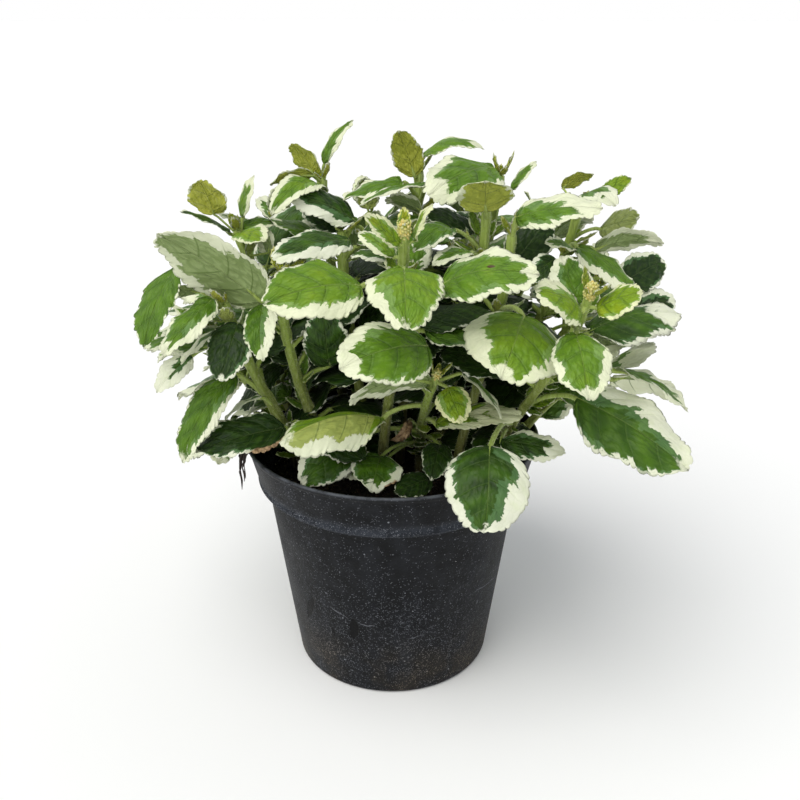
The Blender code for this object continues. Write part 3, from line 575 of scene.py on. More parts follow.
# The leafy stems: soft square stems, rooted in the soil, with a pair of opposite leaves at each joint,
# every pair a quarter turn from the last. Most leaves near the front have a place of their own, from the
# photograph. The others grow by rule, and each is bent clear of its neighbours.
HOLE_DEPTH = 10.0
STRAIGHT_ABOVE_SOIL = 2.0
STEM_FOOT = 2.5
STEM_TIP = 1.6
STEM_RINGS = 5
STEM_RISE = 0.35
STEM_AIM = 0.3
YOUNG = 19.0
YOUNG_STALK = 0.64
STALK = 0.85
STALK_BEND_FROM = 15.0
STALK_BOW = Vector((0.0, 0.0, 0.1))
BLADE_THICKNESS = 1.3
THICK_FROM = 36.0
LOBE_DEPTH = 0.13
LOBES = ((44.0, 5), (28.0, 4), (0.0, 3))
SPINE = {5: (0.3, 0.6, 0.85), 4: (0.35, 0.72), 3: (0.35, 0.72)}
WIDEST_LOW = 0.8
ROUNDNESS = 0.7
EDGE_DROOP = 0.012
WAVES = 2.2
ARCH = (0.05, 0.14)
FOLD = (-0.16, 0.18)
TWIST = (-16.0, 16.0)
WAVE = (0.015, 0.04)
LAG = (0.6, 2.4)
PAIRS = ((4, 20, 32), (15, 33, 56), (32, 43, 76), (54, 48, 92), (78, 47, 102))
PAIR_SWAY = 14.0
PAIR_OPENING = 10.0
PAIR_DROOP = 0.12
PAIR_SIZE = (0.88, 1.1)
PAIR_WIDTH = (0.66, 0.8)
LOWEST_PAIR = 0.12
BACKWARD = 0.15
DOME_MIDDLE = Vector((0.0, 0.0, 150.0))
DOME_REACH = Vector((130.0, 125.0, 125.0))
SHADE = 0.62
LOWEST = 128.0
CLEARANCE = 0.5
POT_CLEARANCE = 1.2
GUARD_SIDES = 48
TURNS = (0, 4, -4, 8, -8, 13, -13, 19, -19, 26, -26, 34, -34)
PLACED_TURN = 13
PLACED_SIZES = (1.0, 0.9)
RULED_TURN = 34
RULED_SIZES = (1.0, 0.82, 0.66)


def leaf(name, at, base, tip, face, width, tone=None, cream=None, dry=None, **form):
    """A leaf with its own place: where along its stem it grows, where its blade starts and ends, the way its
    upper side faces, and its width for its length. Its tone runs from 0, young and yellow, to 1, old and
    dark. A leaf that lies in shade is given a darker tone, which paints its shade into its colour. Its
    cream is the margin's share of the half blade on its right, its left and its tip, seen from the stem, and
    dry is the place and reach of a dry spot."""
    blade = dict(name=name, at=at, base=Vector(base), tip=Vector(tip), face=Vector(face))
    return dict(blade, width=width, form=form, tone=tone, cream=cream, dry=dry)


STEMS = {}


def stem(name, root, tip, aim=(0, 0, 1), turn=0.0, first=2, pairs=5, lean=0.2, leaves=()):
    """A leafy stem: where it stands, its tip and the way that points, and the pairs that the rule makes."""
    shoot = dict(root=root, tip=Vector(tip), aim=Vector(aim), turn=turn, lean=lean)
    STEMS[name] = dict(shoot, first=first, pairs=pairs, leaves=leaves)


# The tones given below are darker for leaves that lie in shade, such as the shade leaves on stem_outer_right:
# painted shade in their colour.
stem("stem_front", (-6, -22), (5, -66, 243), (0, -0.15, 1), 90, leaves=(
    leaf("front", 0.87, (5, -72, 231), (5, -110, 218), (0, -1, 1.2), 0.8,
         0.36, (0.27, 0.09, 0.09), fold=0.0, arch=0.14, blunt=0.48),
    leaf("left", 0.79, (-13, -72, 224), (-50, -92, 222), (0, -0.7, 1), 0.78, 0.38, (0.05, 0.38, 0.05)),
    leaf("right", 0.79, (20, -72, 224), (57, -90, 233), (0, -0.7, 1), 0.66,
         0.46, (0.18, 0.3, 0.2), dry=(0.58, 0.97, 0.045)),
    leaf("low_left", 0.6, (14, -84, 202), (-20, -108, 201), (0, -0.8, 1), 0.8,
         0.5, (0.3, 0.14, 0.3), blunt=0.46, low=0.9),
    leaf("young_left", 0.96, (3, -68, 240), (-11, -74, 253), (1, -2, 2), 0.55, 0.22, (0.35, 0.3, 0.15)),
    leaf("young_back", 0.92, (1, -60, 233), (-14, -50, 241), (0, -1, 2), 0.55, 0.36, (0.45, 0.4, 0.2)),
    leaf("young_right", 0.96, (9, -66, 241), (16, -72, 257), (-2, -1, 1), 0.4, 0.2, (0.6, 0.5, 0.3)),
    leaf("bud_leaf", 1.0, (5, -66, 244), (5, -63, 254), (0, -3, 1), 0.55, 0.05, (0.2, 0.2, 0.2)),
    leaf("behind", 0.84, (3, -48, 228), (-18, -42, 229), (0, -0.3, 1), 0.5, 0.75, (0.1, 0.35, 0.05)),
))
stem("stem_right", (46, -10), (81, -72, 219), (0.2, -0.2, 1), 0, lean=0.35, leaves=(
    leaf("big", 0.42, (82, -60, 169), (127, -84, 145), (0.2, -1, 1.2), 0.66,
         0.7, (0.1, 0.62, 0.12), arch=0.08, fold=0.05),
    leaf("front", 0.87, (75, -82, 206), (76, -108, 188), (0, -1, 0.9), 0.8,
         0.46, (0.22, 0.28, 0.25), fold=0.02),
    leaf("over_rim", 0.3, (42, -78, 154), (38, -103, 126), (0, -1, 0.6), 1.0,
         0.82, (0.2, 0.45, 0.1), blunt=0.42, low=0.92),
    leaf("thin", 0.6, (101, -48, 178), (132, -60, 162), (0.3, 0, 1), 0.5, 0.55, (0.3, 0.6, 0.2)),
    leaf("young_left", 0.96, (78, -75, 213), (56, -90, 227), (1, -1, 1.5), 0.7, 0.25, (0.5, 0.22, 0.1)),
    leaf("young_right", 0.96, (84, -75, 215), (99, -86, 225), (-0.3, -0.7, 1), 0.8, 0.2, (0.16, 0.2, 0.12)),
    leaf("behind", 0.91, (79, -62, 211), (72, -52, 231), (0, -2, 1), 0.85, 0.6, (0.1, 0.5, 0.2)),
    leaf("pale", 0.7, (101, -38, 174), (123, -14, 179), (0.5, 1, 0.8), 0.85, 0.5, (0.95, 0.95, 0.6)),
    leaf("pale_low", 0.55, (102, -38, 170), (134, -36, 160), (0.2, 1, 0.8), 0.6, 0.5, (0.95, 0.9, 0.6)),
    leaf("low_right", 0.26, (50, -52, 144), (78, -62, 143), (0, -0.7, 1), 0.55, 0.9, (0.2, 0.4, 0.3)),
))
stem("stem_inner", (30, -26), (53, -34, 236), (0, -0.1, 1), 40, leaves=(
    leaf("broad", 0.7, (56, -64, 208), (43, -98, 193), (0, -1.1, 1), 1.12,
         0.36, (0.34, 0.26, 0.3), arch=0.14, blunt=0.46, low=0.9),
    leaf("long", 0.97, (54, -38, 245), (87, -56, 252), (0, -0.7, 1), 0.56, 0.5, (0.24, 0.6, 0.45)),
    leaf("dark", 0.8, (55, -28, 222), (72, -16, 240), (0, -1, 0.3), 0.8, 1, (0.04, 0.06, 0.05)),
    leaf("dark_low", 0.8, (71, -44, 228), (58, -54, 220), (0, -0.8, 0.6), 0.65, 0.9, (0.3, 0.1, 0.1)),
))
stem("stem_fan", (22, -6), (42, -28, 245), (0, 0, 1), 20, leaves=(
    leaf("fan", 0.97, (41, -34, 247), (39, -48, 262), (0, 1, 0.7), 1.25, 0.22, (0.14, 0.14, 0.12), fold=0.1),
    leaf("arching", 0.85, (26, -40, 240), (9, -56, 234), (0, -0.5, 1), 0.6, 0.6, (0.12, 0.2, 0.05), arch=0.2),
    leaf("dark", 0.85, (36, -20, 233), (16, -8, 243), (0, -0.6, 1), 0.6, 1, (0.05, 0.05, 0.05)),
    leaf("edge", 0.8, (34, -45, 231), (17, -60, 229), (0, -0.3, 1), 0.5, 0.5, (0.5, 0.5, 0.2)),
    leaf("back", 0.9, (41, -8, 232), (28, 6, 238), (0, -0.6, 1), 0.7, 0.9, (0.35, 0.1, 0.1)),
))
stem("stem_outer_right", (48, 6), (86, -10, 240), (0.2, 0, 1), 60, lean=0.3, leaves=(
    leaf("curled", 0.97, (85, -18, 248), (96, -40, 250), (0, -0.5, 1), 0.8, 0.6, (0.4, 0.35, 0.4), arch=0.22),
    leaf("roof", 0.85, (82, -36, 231), (103, -54, 217), (0.2, -0.4, 1), 0.6,
         0.55, (0.42, 0.12, 0.1), fold=-0.2),
    leaf("thin", 0.85, (92, -26, 228), (121, -32, 232), (0, 1, 0.9), 0.6, 0.4, (0.5, 0.4, 0.4)),
    leaf("olive", 0.99, (80, 0, 251), (93, -6, 258), (0.3, 0.8, 1), 0.6, 0.18, (0.08, 0.08, 0.05)),
    leaf("olive_right", 0.98, (99, 4, 246), (114, 8, 254), (0, -1, 0.6), 0.5, 0.22, (0.08, 0.1, 0.05)),
    leaf("back_right", 0.9, (98, -6, 233), (118, 2, 236), (0, 1, 0.5), 0.85, 0.3, (0.1, 0.1, 0.1)),
    leaf("small", 0.85, (80, -36, 230), (66, -46, 235), (0, -0.4, 1), 0.6, 0.5, (0.4, 0.3, 0.2)),
    leaf("shade_high", 0.7, (108, -22, 212), (128, -12, 219), (0.3, -1, 0.8), 0.85, 1, (0.08, 0.2, 0.1)),
    leaf("shade_middle", 0.6, (112, -24, 201), (132, -20, 206), (0.3, -1, 0.8), 0.8, 1, (0.12, 0.3, 0.2)),
    leaf("shade_low", 0.5, (110, -24, 194), (129, -24, 189), (0.3, -1, 0.8), 0.7, 1, (0.2, 0.3, 0.2)),
))
stem("stem_top", (4, 10), (13, 10, 257), (0, 0, 1), 100, leaves=(
    leaf("upright", 0.98, (11, 8, 255), (3, -2, 277), (0, 1, 0.3), 0.6, 0.16, (0.06, 0.06, 0.05)),
    leaf("arched", 0.98, (15, 10, 264), (43, 4, 268), (0, -0.3, 1), 0.5, 0.42, (0.12, 0.5, 0.2), arch=0.22),
    leaf("left_high", 0.9, (5, -2, 254), (-22, -14, 248), (0, -0.3, 1), 0.5, 0.5, (0.3, 0.25, 0.1)),
    leaf("left_low", 0.85, (16, -12, 253), (-14, -30, 245), (0, 0.1, 1), 0.45, 0.55, (0.35, 0.4, 0.1)),
    leaf("pale", 0.8, (15, -12, 242), (-3, -4, 246), (0, 1, 0.7), 0.6, 0.5, (0.3, 0.3, 0.2)),
))
stem("stem_top_right", (24, 10), (51, 2, 256), (0.1, 0, 1), 10, first=1, leaves=(
    leaf("scalloped", 0.96, (48, 0, 260), (16, -36, 254), (0, -0.8, 1), 0.64, 0.5, (0.3, 0.3, 0.36)),
    leaf("small", 0.97, (56, -4, 251), (67, 0, 263), (-1, -0.6, 1), 0.5, 0.45, (0.3, 0.4, 0.3)),
))
stem("stem_top_left", (-14, 8), (-33, 8, 253), (0, 0, 1), 50, leaves=(
    leaf("upright", 0.97, (-32, 8, 261), (-18, 14, 280), (-1, -1, 0.3), 0.36, 0.45, (0.45, 0.2, 0.1)),
    leaf("olive", 1.0, (-37, 6, 257), (-46, 0, 271), (0.5, 1, 0.6), 0.8, 0.12, (0.04, 0.04, 0.03)),
    leaf("pale", 0.99, (-37, 0, 257), (-55, -14, 255), (0, 1, 0.6), 0.4, 0.2, (0.15, 0.15, 0.1)),
    leaf("arching", 0.95, (-32, 0, 251), (-56, -26, 247), (0, -0.4, 1), 0.5, 0.4, (0.3, 0.4, 0.1), arch=0.24),
    leaf("dark", 0.88, (-22, -4, 234), (-43, 2, 243), (0, -1, 0.6), 0.7, 1, (0.3, 0.12, 0.05)),
))
stem("stem_left_inner", (-12, -8), (-23, -18, 234), (0, 0, 1), 90, first=1, leaves=(
    leaf("dark_white", 0.95, (-16, -14, 238), (-46, -20, 253), (0, -0.7, 1), 0.55, 0.85, (0.06, 0.55, 0.05)),
    leaf("cream_edge", 0.85, (-19, -30, 233), (-50, -56, 231), (0, -0.5, 1), 0.54, 0.8, (0.15, 0.5, 0.1)),
))
stem("stem_left_high", (-32, 10), (-70, -20, 235), (-0.3, 0, 1), 100, leaves=(
    leaf("olive", 0.98, (-80, -20, 243), (-84, -28, 259), (0.3, 1, 0.8), 1.1, 0.08, (0.04, 0.04, 0.03)),
    leaf("dark", 0.95, (-73, -22, 235), (-93, -30, 246), (0, -0.1, 1), 0.45, 0.85, (0.4, 0.08, 0.05)),
    leaf("upright", 0.97, (-68, -18, 241), (-62, -14, 259), (-1, -0.8, 0.5), 0.55, 0.42, (0.5, 0.25, 0.4)),
    leaf("right", 0.95, (-68, -18, 236), (-51, -8, 235), (0, -0.4, 1), 0.55, 0.5, (0.3, 0.12, 0.1)),
    leaf("bright", 0.96, (-68, -24, 235), (-55, -41, 235), (0, -0.6, 1), 0.75, 0.25, (0.2, 0.45, 0.2)),
    leaf("pale", 0.9, (-56, -20, 225), (-62, -12, 236), (0, 1, 0.4), 0.7, 0.5, (0.5, 0.5, 0.3)),
))
stem("stem_left_big", (-30, -8), (-48, -45, 221), (0.1, -0.1, 1), 0, lean=0.5, leaves=(
    leaf("pale_big", 0.9, (-56, -48, 210), (-95, -66, 244), (0.2, 1, 0.5), 0.66,
         0.6, (0.2, 0.36, 0.05), fold=0.1, arch=0.05),
    leaf("hanging", 0.9, (-56, -50, 210), (-55, -70, 192), (-0.3, -1, 0.6), 0.6, 0.6, (0.12, 0.8, 0.25)),
    leaf("small", 0.97, (-44, -47, 224), (-37, -50, 229), (0, -0.6, 1), 0.6, 0.04, (0.1, 0.1, 0.1)),
    leaf("dark_centre", 0.5, (-29, -30, 173), (-31, -46, 206), (0, -1, 0.3), 0.62, 0.9, (0.08, 0.08, 0.04)),
))
stem("stem_left_low", (-40, -14), (-73, -48, 209), (-0.2, -0.1, 1), 30, lean=0.4, leaves=(
    leaf("outer", 0.95, (-96, -36, 222), (-106, -64, 195), (-0.6, -1, 0.5), 0.52, 0.56, (0.03, 0.03, 0.03)),
    leaf("long", 0.4, (-72, -44, 175), (-95, -62, 139), (-0.6, -1, 0.4), 0.42, 0.6, (0.05, 0.28, 0.14)),
    leaf("dark_low", 0.15, (-50, -46, 149), (-88, -64, 145), (0, -0.8, 1), 0.5,
         0.98, (0.05, 0.1, 0.04), dry=(1.0, 0.42, 0.27)),
    leaf("cream_side", 0.92, (-77, -54, 213), (-95, -77, 196), (-0.2, -0.6, 1), 0.5, 0.55, (0.14, 0.45, 0.2)),
    leaf("dark_round", 0.86, (-67, -54, 202), (-73, -71, 182), (0, -1, 0.4), 0.75, 1, (0.04, 0.12, 0.08)),
    leaf("edge", 0.88, (-70, -50, 200), (-92, -62, 188), (0.3, 0.3, 1), 0.4, 0.6, (0.6, 0.5, 0.4)),
    leaf("white", 0.8, (-90, -48, 185), (-104, -59, 172), (-0.4, -1, 0.6), 0.6, 0.75, (0.75, 0.8, 0.6)),
    leaf("curled", 0.95, (-87, -38, 213), (-97, -48, 215), (0, 1, 0.5), 0.6, 0.4, (0.1, 0.1, 0.1)),
    leaf("dry", 0.3, (-58, -38, 164), (-76, -46, 157), (0.3, 0.3, 1), 0.3, 0.8, (0.8, 0.8, 0.7)),
    leaf("dark_small", 0.3, (-57, -30, 162), (-68, -30, 165), (0, -0.6, 1), 0.7, 0.9, (0.1, 0.1, 0.1)),
    leaf("dark_behind", 0.15, (-53, -32, 144), (-67, -34, 152), (0, -0.6, 1), 0.6, 0.9, (0.1, 0.08, 0.05)),
))
stem("stem_low_front", (14, -4), (20, -46, 174), (0.3, -0.3, 1), 40, pairs=2, lean=0.1, leaves=(
    leaf("rolled", 0.7, (-5, -42, 152), (-49, -73, 154), (0, 0.1, 1), 0.52,
         0.28, (0.16, 0.3, 0.12), turned=9.0),
    leaf("right", 0.5, (21, -38, 146), (60, -53, 153), (0, -0.3, 1), 0.46, 0.24, (0.42, 0.12, 0.6)),
    leaf("pale_under", 0.9, (17, -46, 172), (-19, -65, 170), (0, 1, 0.7), 0.54, 0.6, (0.35, 0.35, 0.2)),
    leaf("left_white", 0.35, (-18, -36, 137), (-40, -57, 123), (0, -1, 1), 0.8, 0.78, (0.26, 0.12, 0.15)),
    leaf("small_front", 0.96, (25, -52, 171), (30, -67, 160), (0, -1, 0.7), 0.85, 0.16, (0.25, 0.25, 0.25)),
    leaf("edge_right", 0.95, (32, -46, 176), (50, -56, 157), (1, -0.1, 1), 0.45, 0.5, (0.6, 0.5, 0.3)),
    leaf("left_small", 0.25, (-5, -30, 126), (-25, -46, 128), (0, -0.6, 1), 0.55, 0.4, (0.12, 0.4, 0.2)),
    leaf("at_rim", 0.2, (-6, -40, 128), (-10, -61, 119), (0, -1, 0.8), 1.1,
         0.7, (0.1, 0.3, 0.3), dry=(1.0, 0.95, 0.14)),
    leaf("dark", 0.3, (23, -30, 132), (18, -52, 124), (0, -1, 0.8), 0.65, 1, (0.06, 0.08, 0.05)),
    leaf("dark_rim", 0.15, (18, -44, 121), (1, -60, 122), (0, -1, 1), 0.6, 1, (0.03, 0.03, 0.03)),
))
stem("stem_back_top_left", (2, 24), (-12, 50, 229), (-0.1, 0.1, 1), 45)
stem("stem_back_top_right", (28, 24), (40, 48, 236), (0.1, 0.1, 1), 10)
stem("stem_back_high_left", (-20, 24), (-60, 60, 222), (-0.3, 0.3, 1), 80)
stem("stem_back_left", (-46, 18), (-92, 36, 192), (-0.5, 0.2, 1), 20)
stem("stem_back_low_left", (-34, 34), (-68, 90, 182), (-0.3, 0.5, 1), 60)
stem("stem_back_middle", (-8, 38), (-18, 98, 192), (0, 0.5, 1), 0)
stem("stem_back_low_middle", (16, 38), (36, 92, 196), (0.1, 0.5, 1), 30)
stem("stem_back_high_right", (38, 32), (80, 48, 219), (0.3, 0.2, 1), 70)
stem("stem_back_right", (52, 20), (106, 26, 196), (0.5, 0.1, 1), 15)
stem("stem_side_right", (54, -8), (104, 6, 166), (0.6, 0, 1), 40)
stem("stem_side_left", (-52, 6), (-92, 14, 176), (-0.5, 0, 1), 75)
stem("stem_foot_left", (-14, 52), (-44, 110, 150), (-0.3, 0.9, 0.3), 10, lean=0)
stem("stem_foot_right", (10, 54), (12, 114, 152), (0, 0.9, 0.3), 50, lean=0)
stem("stem_foot_outer", (32, 46), (66, 98, 154), (0.5, 0.7, 0.3), 85, lean=0)


def stem_path(shoot):
    """The four control points of a stem above the soil, in millimetres."""
    foot = Vector((*shoot["root"], SOIL_TOP + STRAIGHT_ABOVE_SOIL))
    tip = shoot["tip"]
    reach = (tip - foot).length
    out = Vector((tip.x - foot.x, tip.y - foot.y, 0.0)) * shoot["lean"]
    rise = foot + out + Vector((0.0, 0.0, reach * STEM_RISE))
    return foot, rise, tip - shoot["aim"].normalized() * reach * STEM_AIM, tip


def along(shoot, t):
    """A point on the stem, from 0 at the soil to 1 at its tip."""
    a, b, c, d = shoot["path"]
    s = 1.0 - t
    return a * s**3 + b * 3 * s * s * t + c * 3 * s * t * t + d * t**3


def heading(shoot, t):
    """The stem's direction at a point."""
    ahead = min(t + 0.02, 1.0)
    return (along(shoot, ahead) - along(shoot, ahead - 0.02)).normalized()


def length_of(shoot):
    """The stem's length above the soil."""
    return sum((along(shoot, (i + 1) / 20) - along(shoot, i / 20)).length for i in range(20))


def stem_half(t):
    """Half the stem's thickness."""
    return STEM_FOOT + (STEM_TIP - STEM_FOOT) * t


def stem_mesh(name, shoot, extra=0.0):
    """The square stem from the foot in its hole to its tip: a tapered curve made into a welded mesh."""
    foot = Vector((*shoot["root"], SOIL_TOP - HOLE_DEPTH + FIT))
    line = bpy.data.curves.new(name, "CURVE")
    line.dimensions = "3D"
    line.bevel_depth = MM
    line.bevel_resolution = 0
    line.use_fill_caps = True
    run = line.splines.new("POLY")
    run.points.add(STEM_RINGS + 1)
    places = [foot] + [along(shoot, i / STEM_RINGS) for i in range(STEM_RINGS + 1)]
    for i, (point, place) in enumerate(zip(run.points, places)):
        point.co = (*(place * MM), 1.0)
        point.radius = stem_half(max(i - 1, 0) / STEM_RINGS) + extra
    guide = linked(name + "_line", line)
    graph = bpy.context.evaluated_depsgraph_get()
    mesh = bpy.data.meshes.new_from_object(guide.evaluated_get(graph))
    bpy.data.objects.remove(guide)
    shape = bmesh.new()
    shape.from_mesh(mesh)
    bmesh.ops.remove_doubles(shape, verts=shape.verts, dist=0.01 * MM)
    bmesh.ops.triangulate(shape, faces=shape.faces)
    bmesh.ops.recalc_face_normals(shape, faces=shape.faces)
    shape.to_mesh(mesh)
    shape.free()
    mesh.name = name
    return mesh


def half_outline(v):
    """Half width along the blade, with 1 at its widest, without its lobes."""
    return math.sin(math.pi * min(v, 1.0) ** WIDEST_LOW) ** ROUNDNESS


def formed(blade, name):
    """Adds the draws that give each leaf its own bend, fold, twist and waves."""
    draw = random.Random(name)
    form = dict(
        arch=draw.uniform(*ARCH),
        fold=draw.uniform(*FOLD),
        twist=math.radians(draw.uniform(*TWIST)),
        wave=draw.uniform(*WAVE),
        phase=draw.uniform(0, math.tau),
        lag=draw.uniform(*LAG),
    )
    form.update(blade["form"])
    return dict(blade, form=form)


def blade_point(blade, u, v, lift=0.0, grow=1.0):
    """A point of the blade: u from -1 to 1 across, v from 0 to 1 along, lifted off its middle surface."""
    form = blade["form"]
    chord = blade["tip"] - blade["base"]
    length = chord.length
    way = chord / length
    up = (blade["face"] - way * blade["face"].dot(way)).normalized()
    up = Matrix.Rotation(form["twist"] * (v - 0.4), 3, way) @ up
    across = up.cross(way)
    half = length * blade["width"] / 2 * half_outline(v) * grow
    out = abs(u) * half
    phase = form["phase"] + (form["lag"] if u > 0 else 0)
    wave = form["wave"] * length * u * u * math.sin(WAVES * math.tau * v + phase)
    arch = form["arch"] * length * 4 * v * (1 - v)
    rise = arch + form["fold"] * out - EDGE_DROOP * out * out + wave
    return blade["base"] + chord * v + across * u * half + up * (rise + lift)


def long(blade):
    """The blade's length."""
    return (blade["tip"] - blade["base"]).length


def number_for(length, table):
    """How many of something a blade of this length has."""
    return next(count for least, count in table if length > least)


def edge_places(lobes):
    """Where the scallops' tops and notches lie along the blade, closer together towards its round tip."""
    count = 2 * lobes - 1
    return [0.04 + 0.95 * (1.0 - (1.0 - (k + 0.6) / (count + 0.2)) ** 1.35) for k in range(count)]


def stalk_rings(start, blade, way, across, size):
    """Three-cornered rings from the stem to the blade's base. A long stalk bows up in the middle."""
    base = blade["base"]
    run = base - start
    rings = [(start, run), (base, way)]
    if run.length > STALK_BEND_FROM:
        bend = start + run / 2 + STALK_BOW * run.length
        rings = [(start, bend - start), (bend, run), (base, way)]
    points = []
    for place, ahead in rings:
        ahead = ahead.normalized()
        side = across - ahead * across.dot(ahead)
        if side.length < 0.2:
            side = blade["face"] - ahead * blade["face"].dot(ahead)
        side.normalize()
        points += [place + side * size, place - side * size, place - ahead.cross(side) * size * 1.4]
    return points


def leaf_shape(shoot, blade, extra=0.0):
    """A leaf in its coarse form, as one closed loft: a three-sided stalk, then the scalloped blade. Returns
    its points, its faces, and how many of them are the stalk's. The extra swells it all round."""
    length = long(blade)
    thick = BLADE_THICKNESS * (0.75 + 0.25 * min(length / THICK_FROM, 1.0)) / 2 + extra
    size = (YOUNG_STALK if length < YOUNG else STALK) + extra
    grow = 1.0 + 2 * extra / (length * blade["width"])
    way = (blade_point(blade, 0, 0.1) - blade["base"]).normalized()
    across = (blade_point(blade, 1, 0.3) - blade_point(blade, -1, 0.3)).normalized()
    points = stalk_rings(along(shoot, blade["at"]), blade, way, across, size)
    faces = [(0, 1, 2)]
    near = len(points) - 3
    for ring in range(0, near, 3):
        for k in range(3):
            a, b = ring + k, ring + (k + 1) % 3
            faces += [(a, b, b + 3), (a, b + 3, a + 3)]
    stalk_faces = len(faces)

    def point(u, v, lift):
        points.append(blade_point(blade, u, v, lift, grow))
        return len(points) - 1

    lobes = number_for(length, LOBES)
    spine_at = SPINE[lobes]
    edge_at = edge_places(lobes)
    over = [point(0, v, thick) for v in spine_at]
    under = [point(0, v, -thick) for v in spine_at]
    end = point(0, 1.0 + extra / length, 0.0)
    faces.append((near, near + 1, over[0]))
    for corner, side in ((near, 1.0), (near + 1, -1.0)):
        edge = [point(side * (1.0 - LOBE_DEPTH * (k % 2)), v, 0.0) for k, v in enumerate(edge_at)]
        rim = ([corner, *edge, end], [0.0, *edge_at, 1.0])
        for first, spine in ((corner, over), (near + 2, under)):
            faces += zipped(*rim, [first, *spine, end], [0.0, *spine_at, 1.0])
    return points, faces, stalk_faces


def zipped(one, one_at, two, two_at):
    """Triangles between two chains that end in the same point."""
    faces = []
    i = j = 0
    while i < len(one) - 1 or j < len(two) - 1:
        if j == len(two) - 1 or (i < len(one) - 1 and one_at[i + 1] <= two_at[j + 1]):
            face = (one[i], one[i + 1], two[j])
            i += 1
        else:
            face = (one[i], two[j + 1], two[j])
            j += 1
        if len(set(face)) == 3:
            faces.append(face)
    return faces


def shaded(place):
    """Whether a place lies deep inside the dome of leaves."""
    off = place - DOME_MIDDLE
    return Vector([off[i] / DOME_REACH[i] for i in range(3)]).length < SHADE


def level_from(way):
    """A level direction square to a way."""
    level = Vector((0.0, 0.0, 1.0)).cross(way)
    return level.normalized() if level.length > 0.1 else Vector((1.0, 0.0, 0.0))


def off_stem(way, round_by):
    """The direction straight off a stem, at an angle round it."""
    level = level_from(way)
    return level * math.cos(round_by) + way.cross(level) * math.sin(round_by)


def pair_leaf(shoot, at, size, spread, angle, label):
    """One leaf of a pair, at an angle round the stem and spread from it, both in degrees."""
    draw = random.Random(label)
    way = heading(shoot, at)
    out = off_stem(way, math.radians(angle + draw.uniform(-PAIR_SWAY, PAIR_SWAY)))
    open_by = math.radians(spread + draw.uniform(-PAIR_OPENING, PAIR_OPENING))
    run = way * math.cos(open_by) + out * math.sin(open_by)
    run.z -= draw.uniform(0.0, PAIR_DROOP) * spread / 25
    grow = size * draw.uniform(*PAIR_SIZE)
    stalk = (way * math.cos(open_by * 0.7) + out * math.sin(open_by * 0.7)) * (2.5 + grow * 0.22)
    base = along(shoot, at) + stalk
    run.normalize()
    run.z = max(run.z, (LOWEST - base.z) / grow)
    face = way * 0.6 + Vector((0.0, 0.0, 0.8))
    return leaf(label, at, base, base + run * grow, face, draw.uniform(*PAIR_WIDTH))


def rule_leaves(name, shoot, k):
    """Pair k of a stem's opposite leaves, turned a quarter from the pair above. On a stem whose near leaves
    have their own places, the rule makes only those that look away from the seen side."""
    down, size, spread = PAIRS[k]
    at = 1.0 - down / length_of(shoot)
    if at < LOWEST_PAIR or k >= shoot["pairs"] or (shoot["leaves"] and k < shoot["first"]):
        return []
    angle = shoot["turn"] + 90 * k
    made = [pair_leaf(shoot, at, size, spread, angle + 180 * i, f"{name}_pair_{k}_{i}") for i in (0, 1)]
    made = [blade for blade in made if not shaded(blade["tip"])]
    if shoot["leaves"]:
        made = [blade for blade in made if (blade["tip"] - blade["base"]).normalized().y > BACKWARD]
    return made


def bounds(points):
    """The lowest and the highest corner of some points."""
    low = Vector([min(p[i] for p in points) for i in range(3)])
    high = Vector([max(p[i] for p in points) for i in range(3)])
    return low, high


def apart(one, two):
    """Whether two boxes lie clear of each other."""
    return any(one[1][i] < two[0][i] or two[1][i] < one[0][i] for i in range(3))


def lathe_tree(profile, sides):
    """A turned surface to test against."""
    points = []
    faces = []
    for i in range(sides):
        angle = math.tau * i / sides
        points += [Vector((r * math.cos(angle), r * math.sin(angle), z)) for r, z in profile]
    count = len(profile)
    for i in range(sides):
        a, b = i * count, (i + 1) % sides * count
        for k in range(count - 1):
            faces += [(a + k, b + k, b + k + 1), (a + k, b + k + 1, a + k + 1)]
    return BVHTree.FromPolygons(points, faces)


def pot_guard():
    """The pot and the soil with a margin round them, which no leaf may touch."""
    c = POT_CLEARANCE
    profile = [
        (0.5, SOIL_TOP + c),
        (inner_radius(SOIL_TOP + c) - c, SOIL_TOP + c),
        (RIM_RADIUS - WALL - c, POT_HEIGHT),
        (RIM_RADIUS - WALL, POT_HEIGHT + c),
        (RIM_RADIUS + LIP, POT_HEIGHT + c),
        (RIM_RADIUS + LIP + c, POT_HEIGHT - 1.0),
        (LEDGE_RADIUS + LEDGE_BULGE + c, LEDGE_Z),
        (BASE_RADIUS + c, 0.0),
    ]
    return lathe_tree(profile, GUARD_SIDES)


def leaf_trees(shoot, blade):
    """What is tested for one leaf: its box, its whole surface, and its blade alone, all a little swollen."""
    points, faces, stalk_faces = leaf_shape(shoot, blade, CLEARANCE)
    whole = BVHTree.FromPolygons(points, faces)
    return bounds(points), whole, BVHTree.FromPolygons(points, faces[stalk_faces:])


def is_clear(owner, box, whole, blade, placed, guard):
    """Whether a leaf touches neither the pot nor what is placed. On its own stem, its stalk may touch."""
    if whole.overlap(guard):
        return False
    for other, other_box, other_whole, other_blade in placed:
        if apart(box, other_box):
            continue
        if other == owner:
            if blade.overlap(other_blade):
                return False
        elif whole.overlap(other_whole):
            return False
    return True


def bends(most):
    """Turns to try, in degrees about the upright and about the level axis, the smallest first."""
    steps = [step for step in TURNS if abs(step) <= most]
    return sorted(((a, b) for a in steps for b in steps), key=lambda pair: abs(pair[0]) + abs(pair[1]))


